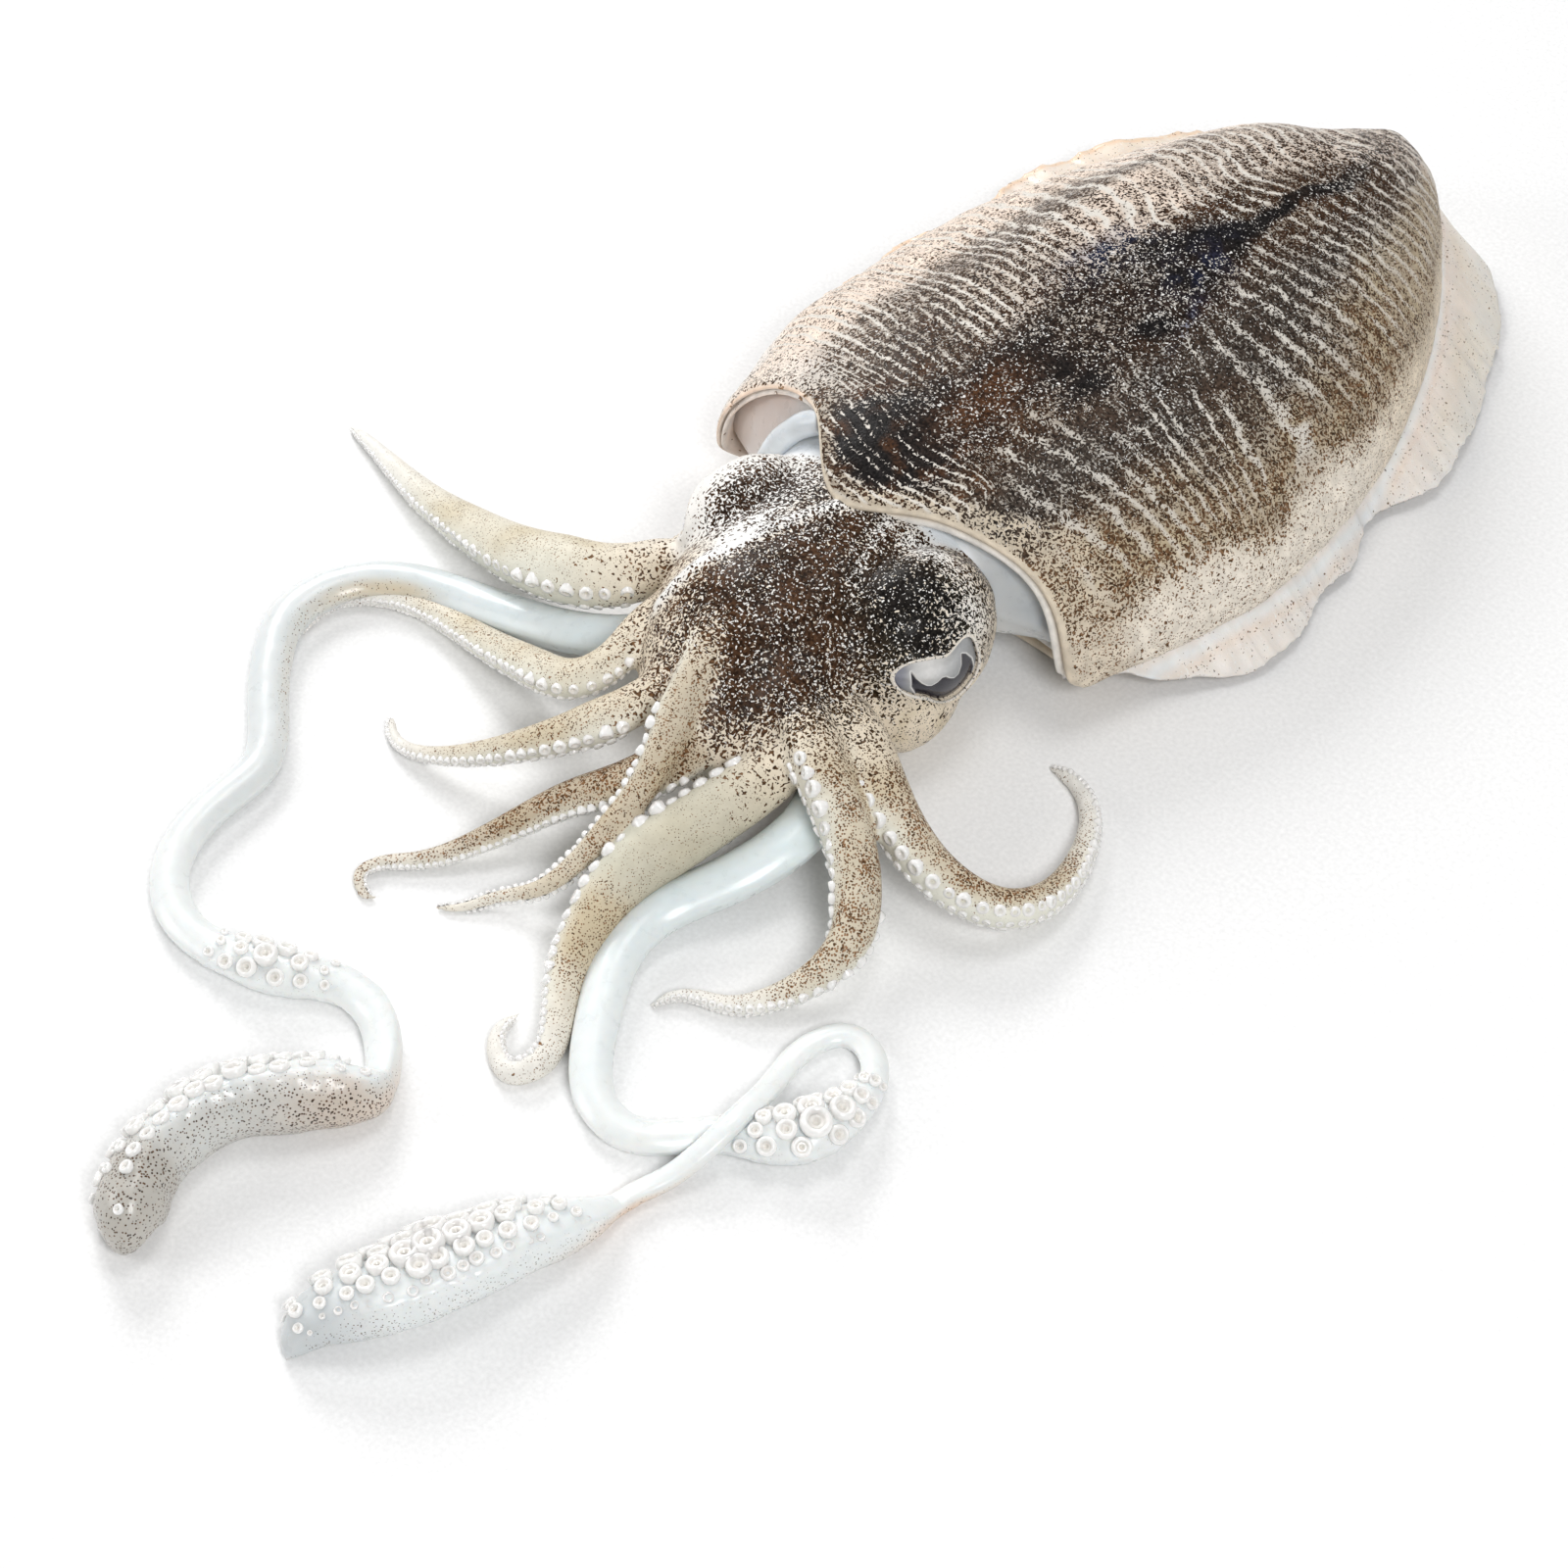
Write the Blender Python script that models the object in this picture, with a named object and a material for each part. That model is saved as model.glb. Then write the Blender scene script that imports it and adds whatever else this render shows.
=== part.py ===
"""A whole raw cuttlefish lying on its belly, back up, with eight arms and two tentacles spread in front.

The animal is one solid. Its mantle runs along +Y with the tail at the far end, the head and
the arms point to -Y, and the flat spots it rests on are at z = 0. Every length below is in
millimetres, and every angle in degrees; the mesh itself is made in metres.
"""

import math
from collections import namedtuple

import bmesh
import bpy
import numpy as np

MM = 0.001
NODE = "cuttlefish"
PIECES = "pieces"
CUTTERS = "cutters"

# The design frame has its origin on the ground ahead of the head. The solid is moved by this
# much, so that its own origin is the centre of its footprint.
TO_ORIGIN = np.array([34.9, -29.5, 0.0])

# Mantle: the broad shield of the back. Shares run from 0 at the front margin to 1 at the tail.
MID_X = -21.0
FRONT_Y = 37.0
MANTLE_LENGTH = 189.0
MANTLE_HALF_WIDTH = 63.5
WIDEST_AT = 0.35
MANTLE_TOP = 49.5
EDGE_Z = 13.0
TAIL_Z = 16.0
BELLY_Z = -1.0
WALL = 4.0
CAVITY_DEPTH = 26.0
MANTLE_COLUMNS = 26
MANTLE_RINGS = 13
# The free front margin: angle round the body from its near side over the back, and how far it
# lies behind the tip of the tongue over the neck.
MARGIN = [(-90, 26), (-45, 26), (-20, 21.5), (0, 17), (20, 17), (38, 18), (52, 16), (61, 13.5), (69, 10.5),
          (77, 6), (85, 1.5), (91, 0.5), (97, 2.5), (106, 9), (113, 14.5), (122, 17.5), (135, 18), (160, 15),
          (185, 15), (225, 24), (270, 26)]

# Fins: a thin frill along each side of the mantle. Each entry is a share of the mantle's length
# and how far out from the midline the frill's edge lies there.
FIN_EDGE = [(0.1, 47), (0.16, 55), (0.2, 61), (0.27, 69), (0.35, 71), (0.43, 66), (0.48, 66), (0.54, 60.5),
            (0.6, 62), (0.65, 63.5), (0.7, 61.5), (0.77, 56.5), (0.84, 49.5), (0.9, 43), (0.94, 37.5),
            (0.97, 31), (0.985, 24), (0.995, 13)]
FIN_THICKNESS = 2.4
FIN_STATIONS = 30

# Head and neck. The two eye bulges differ a little, as the head lies turned to the near side.
EYE_BULGES = [((3.5, 33.0, 21.5), (15.0, 20.0, 19.0)), ((7.0, 26.0, 13.5), (12.0, 14.0, 12.5)),
              ((-40.0, 31.0, 22.0), (13.5, 17.0, 17.5))]
CROWN = np.array([-17.0, 7.0])
ARM_OVERLAP = 11.0

ARM_SIDES = 7
ARM_STATIONS = 18
TENTACLE_SIDES = 8
TENTACLE_SPACING = 5.0
SUCKER_SIDES = 5
ARM_SUCKERS = (0.12, 0.72)
ARM_SUCKER_SIZE = 0.24

SKIN_COLOUR = (0.42, 0.33, 0.24, 1.0)
SKIN_ROUGHNESS = 0.35

Arm = namedtuple("Arm", "name root_z drop belly belly_at root tip taper turn route")
Tentacle = namedtuple("Tentacle", "name root_z drop stalk patch club hump turn rows route")

# Each route is the centreline seen from above, from the head to the tip. turn is how far the
# sucker side is turned from facing down, towards the right of the way to the tip, at root and tip.
ARMS = [
    Arm("far_ventral", 17, 70, 8.1, 0.25, 6.7, 0.9, 1.0, (-60, -60),
        [(-46.5, 15), (-53.5, 6.5), (-63, 0.5), (-77, -2), (-95, -1), (-113.5, 0.5), (-131.5, 3.5), (-142.5, 5)]),
    Arm("far_side", 21, 70, 4.8, 0.33, 3.9, 1.2, 1.0, (-60, -60),
        [(-37, 4), (-38, -2.5), (-36.5, -11), (-39.5, -19.5), (-51.5, -21.5), (-68, -20.5), (-83.5, -20.5),
         (-96, -25.5), (-102, -33), (-100.5, -45.5)]),
    Arm("far_upper", 23, 70, 5.2, 0.28, 4.6, 1.1, 1.4, (-60, -60),
        [(-20.5, -7.5), (-22.5, -19.5), (-27.5, -29), (-35.5, -37), (-46.5, -44.5), (-56, -48.5), (-63.5, -49),
         (-67.5, -47), (-70.5, -44)]),
    Arm("far_dorsal", 34, 85, 4.3, 0.3, 4.2, 0.9, 1.3, (50, 30),
        [(-19.5, 6), (-15, -8), (-12.5, -16.5), (-9.5, -24.5), (-7.5, -32.5), (-8, -41.5), (-9, -49.5),
         (-12, -57), (-18, -62.5), (-22, -68.5), (-27.5, -73)]),
    Arm("near_dorsal", 20, 75, 5.8, 0.2, 5.7, 1.1, 1.3, (-60, -60),
        [(-11.5, -3), (-8.5, -15), (-10, -24.5), (-14, -31.5), (-20.5, -39), (-26, -48.5), (-31, -58.5),
         (-37, -67.5), (-41.5, -72.5), (-42.5, -77), (-40.5, -79), (-37, -79.5), (-35.5, -77)]),
    Arm("near_upper", 18, 70, 6.7, 0.3, 6.2, 1.3, 1.1, (60, 60),
        [(4.5, -4.5), (5.5, -20.5), (2.5, -34), (0.5, -46), (2.5, -57.5), (8.5, -69.5), (16, -79), (17.5, -85),
         (15, -89), (10.5, -88), (6.5, -84.5), (5, -77)]),
    Arm("near_side", 24, 75, 6.7, 0.15, 6.5, 0.9, 1.0, (70, -60),
        [(4.5, -0.5), (16.5, -6.5), (28, -11.5), (37, -17), (42.5, -24), (43, -33), (39.5, -41.5), (33, -48.5),
         (24.5, -53), (21.5, -60.5)]),
    Arm("near_ventral", 20, 70, 6.2, 0.15, 6.6, 0.9, 0.8, (60, 70),
        [(11, 7), (23.5, 2), (34.5, -2), (46.5, -2.5), (57, 3), (60.5, 14), (57.5, 26.5), (51.5, 36), (43, 41),
         (34, 41)]),
]

# stalk: half width at root and before the club. patch and club: (arc length at its middle, half
# length, half width). hump: (arc length, height, half length) where a tentacle passes over itself.
# turn: (arc length, angle) of the sucker side. rows: first and last arc length of a row of
# suckers, their number, how far across the limb they stand (-1 to 1), and their radius.
TENTACLES = [
    Tentacle("far", 12, 60, (4.7, 3.2), (201, 18, 4.4), (277, 33, 8.9), None,
             [(0, 180), (212, 180), (250, 110)],
             [(193, 211, 3, -0.6, 2.0), (192, 208, 3, 0.5, 2.0), (252, 296, 9, -0.45, 2.3),
              (248, 290, 8, 0.5, 1.8)],
             [(-37.5, 6), (-48, -4), (-62.5, -10), (-80, -14), (-95, -20), (-103.5, -30.5), (-104.5, -42),
              (-97.5, -53.5), (-87.5, -63), (-77, -74), (-75.5, -85), (-73, -96.5), (-66.5, -106), (-55.5, -111),
              (-43.5, -109.5), (-32.5, -105), (-23, -99), (-13.5, -98.5), (-5, -103.5), (0.5, -112), (-4, -118),
              (-9, -124.5), (-14.5, -132), (-16.5, -142), (-15, -152.5), (-10.5, -160.5), (-6, -166)]),
    Tentacle("near", 13, 60, (4.4, 2.4), (137, 22, 5.6), (264, 34, 10.0), (203, 5.5, 20),
             [(0, 180), (150, 180), (240, 135)],
             [(126, 154, 6, -0.6, 1.8), (128, 152, 5, 0.6, 1.8), (243, 288, 8, -0.7, 2.2),
              (247, 286, 7, 0.0, 2.3), (250, 280, 5, 0.7, 1.7)],
             [(13.5, 0), (18, -12), (17.5, -21), (14, -31.5), (9.5, -42), (9.5, -53), (16, -65.5), (24.5, -76.5),
              (35, -83.5), (44, -82), (50.5, -75), (58, -68.5), (66, -61), (67.5, -49.5), (63.5, -39), (55, -37),
              (51, -44.5), (53.5, -57.5), (56, -69.5), (54.5, -82.5), (52, -90.5), (50, -103), (46.5, -112.5),
              (43.5, -121.5), (40.5, -131), (38, -138), (34.5, -145.5), (32, -153), (32.5, -159.5)]),
]


def smooth(x):
    """0 below 0, 1 above 1, and a smooth step between."""
    x = np.clip(x, 0.0, 1.0)
    return x * x * (3.0 - 2.0 * x)


def cubic_through(knots, values, at):
    """Natural cubic spline through (knots, values), read at the positions in at."""
    knots, values = np.asarray(knots, float), np.asarray(values, float)
    gaps = np.diff(knots)
    system = np.eye(len(knots))
    right = np.zeros(len(knots))
    slopes = np.diff(values) / gaps
    for i in range(1, len(knots) - 1):
        system[i, i - 1:i + 2] = gaps[i - 1], 2.0 * (gaps[i - 1] + gaps[i]), gaps[i]
        right[i] = 6.0 * (slopes[i] - slopes[i - 1])
    bend = np.linalg.solve(system, right)
    k = np.clip(np.searchsorted(knots, at) - 1, 0, len(gaps) - 1)
    d, gap = at - knots[k], gaps[k]
    first = slopes[k] - gap * (2.0 * bend[k] + bend[k + 1]) / 6.0
    return values[k] + d * first + d * d * bend[k] / 2.0 + d ** 3 * (bend[k + 1] - bend[k]) / (6.0 * gap)


def even_route(points, count, crowd=1.0):
    """count points along a smooth curve through points, and the arc length at each.

    They are evenly spaced where crowd is 1, and closer together towards the end where it is more.
    """
    points = np.asarray(points, float)
    knots = np.concatenate([[0.0], np.cumsum(np.linalg.norm(np.diff(points, axis=0), axis=1))])
    fine = np.linspace(0.0, knots[-1], 40 * len(points))
    line = np.stack([cubic_through(knots, points[:, axis], fine) for axis in range(2)], axis=1)
    run = np.concatenate([[0.0], np.cumsum(np.linalg.norm(np.diff(line, axis=0), axis=1))])
    arc = run[-1] * (1.0 - (1.0 - np.linspace(0.0, 1.0, count)) ** crowd)
    return np.stack([np.interp(arc, run, line[:, axis]) for axis in range(2)], axis=1), arc


def resting_line(route, arc, half_height, root_z, drop):
    """Lifts a route seen from above: root_z high at the head, and lying on the ground after drop."""
    lift = smooth(1.0 - arc / drop)
    z = half_height + np.maximum(root_z - half_height, 0.0) * lift
    return np.column_stack([route, z])


def frames(line, turn):
    """At each point: the direction the suckers face, and the direction across it."""
    along = np.gradient(line, axis=0)
    along /= np.linalg.norm(along, axis=1)[:, None]
    right = np.cross(along, (0.0, 0.0, 1.0))
    right /= np.linalg.norm(right, axis=1)[:, None]
    up = np.cross(right, along)
    angle = np.radians(turn)[:, None]
    oral = -up * np.cos(angle) + right * np.sin(angle)
    return oral, np.cross(oral, along)


def reader(arc, *rows):
    """A function that reads each row of values or points at a place along the arc length."""
    def at(place):
        return [
            np.interp(place, arc, row) if row.ndim == 1
            else np.array([np.interp(place, arc, column) for column in row.T])
            for row in rows
        ]
    return at


def add_object(name, bm):
    """A new mesh object in the collection, from a bmesh in millimetres of the design frame."""
    bmesh.ops.recalc_face_normals(bm, faces=bm.faces)
    bmesh.ops.triangulate(bm, faces=bm.faces)
    for vertex in bm.verts:
        vertex.co = [(c + o) * MM for c, o in zip(vertex.co, TO_ORIGIN)]
    mesh = bpy.data.meshes.new(name)
    bm.to_mesh(mesh)
    bm.free()
    made = bpy.data.objects.new(name, mesh)
    bpy.data.collections[PIECES].objects.link(made)
    return made


def loft(name, rings, first_pole=None, last_pole=None):
    """A closed solid through rings of points. Each end is a fan, to its pole or to its own middle."""
    bm = bmesh.new()
    rows = [[bm.verts.new(p) for p in ring] for ring in rings]
    sides = len(rows[0])
    for low, high in zip(rows, rows[1:]):
        for j in range(sides):
            k = (j + 1) % sides
            bm.faces.new((low[j], low[k], high[k], high[j]))
    for row, ring, pole in ((rows[0], rings[0], first_pole), (rows[-1], rings[-1], last_pole)):
        middle = bm.verts.new(np.mean(ring, axis=0) if pole is None else pole)
        for j in range(sides):
            bm.faces.new((row[j], row[(j + 1) % sides], middle))
    return add_object(name, bm)


def mantle_half_width(share):
    rear = np.clip((share - WIDEST_AT) / (1.0 - WIDEST_AT), 0.0, 1.0)
    front = np.clip((WIDEST_AT - share) / WIDEST_AT, 0.0, 1.2)
    return MANTLE_HALF_WIDTH * (1.0 - rear ** 1.9) ** 0.75 * (1.0 - 0.29 * front ** 1.5)


def mantle_levels(share):
    """Heights of the back, the widest line and the belly."""
    edge = EDGE_Z + (TAIL_Z - EDGE_Z) * smooth((share - 0.7) / 0.3)
    rear = np.clip((share - 0.4) / 0.6, 0.0, 1.0)
    front = np.clip((0.4 - share) / 0.4, 0.0, 1.2)
    back = edge + (MANTLE_TOP - EDGE_Z) * (1.0 - rear ** 2.2) ** 0.6 * (1.0 - 0.2 * front ** 2)
    belly = BELLY_Z + (edge - BELLY_Z) * np.clip((share - 0.8) / 0.2, 0.0, 1.0) ** 2.5
    return back, edge, belly


def front_margin(angle):
    """How far behind the tip of the dorsal tongue the front margin lies, at an angle round the body."""
    table = np.array(MARGIN, float)
    turned = np.mod(np.degrees(angle) + 90.0, 360.0) - 90.0
    return cubic_through(table[:, 0], table[:, 1], turned)


def mantle_point(y, angle, inset=0.0):
    share = (y - FRONT_Y) / MANTLE_LENGTH
    back, edge, belly = mantle_levels(share)
    c, s = math.cos(angle), math.sin(angle)
    power = 0.97 if s > 0 else 0.85
    x = max(mantle_half_width(share) - inset, 0.0) * math.copysign(abs(c) ** power, c)
    rise = max((back if s > 0 else 2.0 * edge - belly) - edge - inset, 0.0)
    z = edge + rise * math.copysign(abs(s) ** power, s)
    return MID_X + x, y, z


def mantle():
    """The shield, from its tail to the free front margin and round it into a shallow cavity."""
    angles = np.linspace(0.0, 2.0 * math.pi, MANTLE_COLUMNS, endpoint=False)
    fronts = FRONT_Y + front_margin(angles)
    tail_y = FRONT_Y + MANTLE_LENGTH
    rings = []
    for k in range(1, MANTLE_RINGS + 1):
        share = 1.0 - math.cos(0.5 * math.pi * k / MANTLE_RINGS)
        share = 0.45 * share + 0.55 * k / MANTLE_RINGS
        rings.append([mantle_point(tail_y + (front - tail_y) * share, a) for a, front in zip(angles, fronts)])
    rings.append([mantle_point(front - 0.5, a, 0.55 * WALL) for a, front in zip(angles, fronts)])
    for depth in (3.0, 0.4 * CAVITY_DEPTH, 0.8 * CAVITY_DEPTH, CAVITY_DEPTH):
        inset = WALL + 12.0 * smooth((depth / CAVITY_DEPTH - 0.5) * 2.0) ** 2
        rings.append([mantle_point(front + depth, a, inset) for a, front in zip(angles, fronts)])
    return loft(
        "mantle", rings,
        first_pole=(MID_X, tail_y, TAIL_Z),
        last_pole=(MID_X, FRONT_Y + 15.0 + CAVITY_DEPTH, EDGE_Z + 8.0),
    )


def fin(side):
    """One frill: a thin flange that starts inside the mantle's edge, droops and lies on the ground."""
    table = np.array(FIN_EDGE)
    shares = np.linspace(table[0, 0], table[-1, 0], FIN_STATIONS)
    outs = cubic_through(table[:, 0], table[:, 1], shares)
    rings = []
    for i, (share, out) in enumerate(zip(shares, outs)):
        edge = mantle_levels(share)[1]
        inner = mantle_half_width(share) - 7.0
        fall = edge - 3.5 - 5.0 * (1.0 - smooth((share - 0.1) / 0.2))
        ripple = 1.4 * math.sin(1.1 * i) * smooth((out - inner) / 20.0)
        ring = []
        for across, thick in ((0.0, 1.0), (0.4, 0.9), (0.75, 0.6), (1.0, 0.35), (1.0, -0.35), (0.75, -0.6),
                              (0.4, -0.9), (0.0, -1.0)):
            level = edge - 1.0 - fall * across ** 1.3 + ripple * across ** 2 + 0.5 * FIN_THICKNESS * thick
            x = inner + (out - inner) * across
            ring.append((MID_X + side * x, FRONT_Y + share * MANTLE_LENGTH, level))
        rings.append(ring if side > 0 else ring[::-1])
    return loft("fin_near" if side > 0 else "fin_far", rings)


def head():
    """Neck, skull and the crown that the arms grow from, lofted along the body's axis."""
    sections = [  # y, middle x, middle z, half width, half height
        (100, MID_X, 22, 50, 15), (82, MID_X, 21, 44, 16), (64, MID_X, 20.5, 35, 17), (48, MID_X, 20.5, 29, 19),
        (32, -19, 21, 28, 20), (14, -18, 20.5, 26, 20), (2, -17, 20, 23, 18.5), (-8, -15, 18, 18.5, 15),
        (-17, -13, 16, 12, 11),
    ]
    table = np.array(sections, float)
    ys = np.linspace(table[0, 0], table[-1, 0], 14)
    values = [cubic_through(-table[:, 0], table[:, axis], -ys) for axis in range(1, 5)]
    angles = np.linspace(0.0, 2.0 * math.pi, 14, endpoint=False)
    rings = [
        [(x + wide * math.cos(a), y, z + tall * math.sin(a)) for a in angles]
        for y, x, z, wide, tall in zip(ys, *values)
    ]
    return loft("head", rings, last_pole=(-12.5, -23.0, 15.0))


def ball(name, centre, size, segments=14, rings=9):
    bm = bmesh.new()
    bmesh.ops.create_uvsphere(bm, u_segments=segments, v_segments=rings, radius=1.0)
    for vertex in bm.verts:
        vertex.co = [c * s + o for c, s, o in zip(vertex.co, size, centre)]
    return add_object(name, bm)


def tube(name, line, across, oral, half_width, half_height, sides):
    """A limb: rings flattened on the sucker side, along a line, closed at the tip."""
    angles = np.linspace(0.0, 2.0 * math.pi, sides, endpoint=False)
    rings = []
    for p, a, o, wide, tall in zip(line, across, oral, half_width, half_height):
        rings.append([
            p + a * wide * math.cos(t) + o * tall * math.sin(t) * (0.8 if math.sin(t) > 0 else 1.0)
            for t in angles
        ])
    return loft(name, rings)


def sucker(name, place, facing, radius):
    """A short cup standing on the skin, with its wide end out."""
    bm = bmesh.new()
    bmesh.ops.create_cone(
        bm, cap_ends=True, segments=SUCKER_SIDES, radius1=0.75 * radius, radius2=radius, depth=2.0 * radius
    )
    facing = np.asarray(facing) / np.linalg.norm(facing)
    side = np.cross(facing, (0.3, 0.9, 0.2))
    side /= np.linalg.norm(side)
    turn = np.stack([side, np.cross(facing, side), facing], axis=1)
    for vertex in bm.verts:
        vertex.co = turn @ np.array(vertex.co) + place
    return add_object(name, bm)


def arm(spec):
    first = np.array(spec.route[0], float)
    inward = (CROWN - first) / np.linalg.norm(CROWN - first)
    route, arc = even_route([first + ARM_OVERLAP * inward] + spec.route, ARM_STATIONS, 1.4)
    arc = np.maximum(arc - ARM_OVERLAP, 0.0)
    share = arc / arc[-1]
    swell = spec.root + (spec.belly - spec.root) * smooth(share / spec.belly_at)
    beyond = np.clip((share - spec.belly_at) / (1.0 - spec.belly_at), 0.0, 1.0)
    half = spec.tip + (swell - spec.tip) * (1.0 - beyond) ** spec.taper
    half *= np.sqrt(1.0 - smooth((share - 0.93) / 0.07) * 0.93)
    line = resting_line(route, arc, 0.85 * half, spec.root_z, spec.drop)
    turn = spec.turn[0] + (spec.turn[1] - spec.turn[0]) * smooth(share * 1.4 - 0.2)
    oral, across = frames(line, turn)
    tube("arm_" + spec.name, line, across, oral, half, half, ARM_SIDES)
    at = reader(share, line, oral, across, half)
    place = ARM_SUCKERS[0]
    while place < ARM_SUCKERS[1]:
        spot, out, side, wide = at(place)
        radius = 0.5 + ARM_SUCKER_SIZE * wide
        upper = math.copysign(0.55, side[2])
        sucker(f"sucker_{spec.name}", spot + wide * (0.62 * out + upper * side), out + upper * side, radius)
        place += 4.2 * radius / arc[-1]


def tentacle(spec):
    length = even_route(spec.route, 8)[1][-1]
    route, arc = even_route(spec.route, int(length / TENTACLE_SPACING))
    root, end = spec.stalk
    half = root + (end - root) * smooth(arc / (0.62 * length))
    middle, reach, wide = spec.patch
    half += np.maximum(wide - half, 0.0) * (1.0 - smooth(np.abs(arc - middle) / reach))
    middle, reach, wide = spec.club
    off = (arc - middle) / reach
    half += (wide - half) * np.clip(1.0 - np.abs(off) ** 2.4, 0.0, 1.0) * (np.abs(off) < 1.0)
    half *= np.sqrt(1.0 - smooth((arc - length + 5.0) / 5.0) * 0.8)
    flat = 1.0 - 0.25 * (1.0 - smooth(np.abs(arc - middle) / reach))
    line = resting_line(route, arc, 0.85 * half * flat, spec.root_z, spec.drop)
    if spec.hump:
        middle, height, reach = spec.hump
        line[:, 2] += height * (1.0 - smooth(np.abs(arc - middle) / reach))
    turns = np.array(spec.turn, float)
    oral, across = frames(line, np.interp(arc, turns[:, 0], turns[:, 1]))
    tube("tentacle_" + spec.name, line, across, oral, half, half * flat, TENTACLE_SIDES)
    at = reader(arc, line, oral, across, half, flat)
    for first, last, count, shift, size in spec.rows:
        for place in np.linspace(first, last, count):
            spot, out, side, wide, low = at(place)
            radius = size * (1.0 - 0.7 * abs(place - 0.5 * (first + last)) / (last - first))
            height = 0.8 * wide * low * math.sqrt(1.0 - 0.7 * shift ** 2)
            sucker(f"sucker_{spec.name}", spot + 0.85 * shift * wide * side + height * out,
                   out + 0.7 * shift * side, radius)


def skin():
    """The skin's plain material: mottled brown, moist."""
    made = bpy.data.materials.new("skin")
    made.use_nodes = True
    shader = made.node_tree.nodes["Principled BSDF"]
    shader.inputs["Base Color"].default_value = SKIN_COLOUR
    shader.inputs["Roughness"].default_value = SKIN_ROUGHNESS
    shader.inputs["Metallic"].default_value = 0.0
    return made


def apply_boolean(target, operation, solver, collection=None, cutter=None):
    """Adds one Boolean to the target and replaces its mesh by the result."""
    modifier = target.modifiers.new(operation.lower(), "BOOLEAN")
    modifier.operation = operation
    modifier.solver = solver
    if collection:
        modifier.operand_type = "COLLECTION"
        modifier.collection = collection
    else:
        modifier.object = cutter
    bpy.context.view_layer.update()
    evaluated = target.evaluated_get(bpy.context.evaluated_depsgraph_get())
    mesh = bpy.data.meshes.new_from_object(evaluated)
    target.modifiers.remove(modifier)
    target.data = mesh
    target.data.name = target.name


def keep_outer_skin(mesh):
    """Drops every closed surface but the largest: sealed pockets get filled, and scraps removed."""
    bm = bmesh.new()
    bm.from_mesh(mesh)
    waiting = set(bm.verts)
    shells = []
    while waiting:
        shell = [waiting.pop()]
        for vertex in shell:
            for edge in vertex.link_edges:
                other = edge.other_vert(vertex)
                if other in waiting:
                    waiting.remove(other)
                    shell.append(other)
        shells.append(shell)
    shells.sort(key=len)
    bmesh.ops.delete(bm, geom=[vertex for shell in shells[:-1] for vertex in shell], context="VERTS")
    bm.to_mesh(mesh)
    bm.free()


def main():
    for old in list(bpy.data.objects):
        bpy.data.objects.remove(old)
    groups = {}
    for name in (NODE, PIECES, CUTTERS):
        groups[name] = bpy.data.collections.new(name)
        bpy.context.scene.collection.children.link(groups[name])
    body = mantle()
    body.name = NODE
    groups[PIECES].objects.unlink(body)
    groups[NODE].objects.link(body)
    fin(1)
    fin(-1)
    head()
    for k, (centre, size) in enumerate(EYE_BULGES):
        ball(f"eye_bulge_{k}", centre, size)
    for spec in ARMS:
        arm(spec)
    for spec in TENTACLES:
        tentacle(spec)
    apply_boolean(body, "UNION", "EXACT", collection=groups[PIECES])
    for piece in list(groups[PIECES].objects):
        bpy.data.objects.remove(piece)
    bpy.data.collections.remove(groups[PIECES])

    bm = bmesh.new()
    bmesh.ops.create_cube(bm, size=1.0)
    for vertex in bm.verts:
        vertex.co = vertex.co[0] * 0.6, vertex.co[1] * 0.6, (vertex.co[2] - 0.5) * 0.05
    ground = bpy.data.objects.new("ground_cutter", bpy.data.meshes.new("ground_cutter"))
    bm.to_mesh(ground.data)
    bm.free()
    ground.hide_render = True
    ground.display_type = "WIRE"
    groups[CUTTERS].objects.link(ground)
    apply_boolean(body, "DIFFERENCE", "EXACT", cutter=ground)
    keep_outer_skin(body.data)
    body.data.materials.clear()
    body.data.materials.append(skin())


main()
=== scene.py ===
"""The looks of the whole raw cuttlefish: mottled skin, fins, eyes, arms, tentacles and their suckers.

Lengths are in millimetres of the design frame, whose origin lies on the ground ahead of the head,
with +Y towards the tail, +X towards the near side and +Z up. Angles are in degrees. TO_ORIGIN takes
the design frame to the row's own frame, and meshes are made in metres there.
"""

import math
from collections import namedtuple

import bpy
import numpy as np
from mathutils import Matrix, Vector, noise
from mathutils.kdtree import KDTree


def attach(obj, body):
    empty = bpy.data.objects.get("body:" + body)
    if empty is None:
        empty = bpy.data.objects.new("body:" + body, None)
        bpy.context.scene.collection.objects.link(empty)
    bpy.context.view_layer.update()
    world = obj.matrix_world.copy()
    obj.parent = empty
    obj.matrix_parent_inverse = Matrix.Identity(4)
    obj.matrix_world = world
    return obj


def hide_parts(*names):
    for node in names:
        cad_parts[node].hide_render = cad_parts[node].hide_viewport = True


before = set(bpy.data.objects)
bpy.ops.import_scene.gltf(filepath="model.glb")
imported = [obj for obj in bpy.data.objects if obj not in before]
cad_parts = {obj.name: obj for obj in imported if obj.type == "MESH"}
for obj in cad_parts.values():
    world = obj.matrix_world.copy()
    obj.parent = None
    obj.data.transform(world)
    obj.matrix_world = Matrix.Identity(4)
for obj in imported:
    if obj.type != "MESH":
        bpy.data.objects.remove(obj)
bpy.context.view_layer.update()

MM = 0.001
NODE = "cuttlefish"
BODY = "root"
TO_ORIGIN = np.array([34.9, -29.5, 0.0])

# Camera: it looks at the design frame's origin from the near side of the arms.
CAMERA_AZIMUTH = 45.0
CAMERA_ELEVATION = 50.0
CAMERA_DISTANCE = 755.6
CAMERA_LENS = 85.0
CAMERA_SENSOR = 36.0

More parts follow.
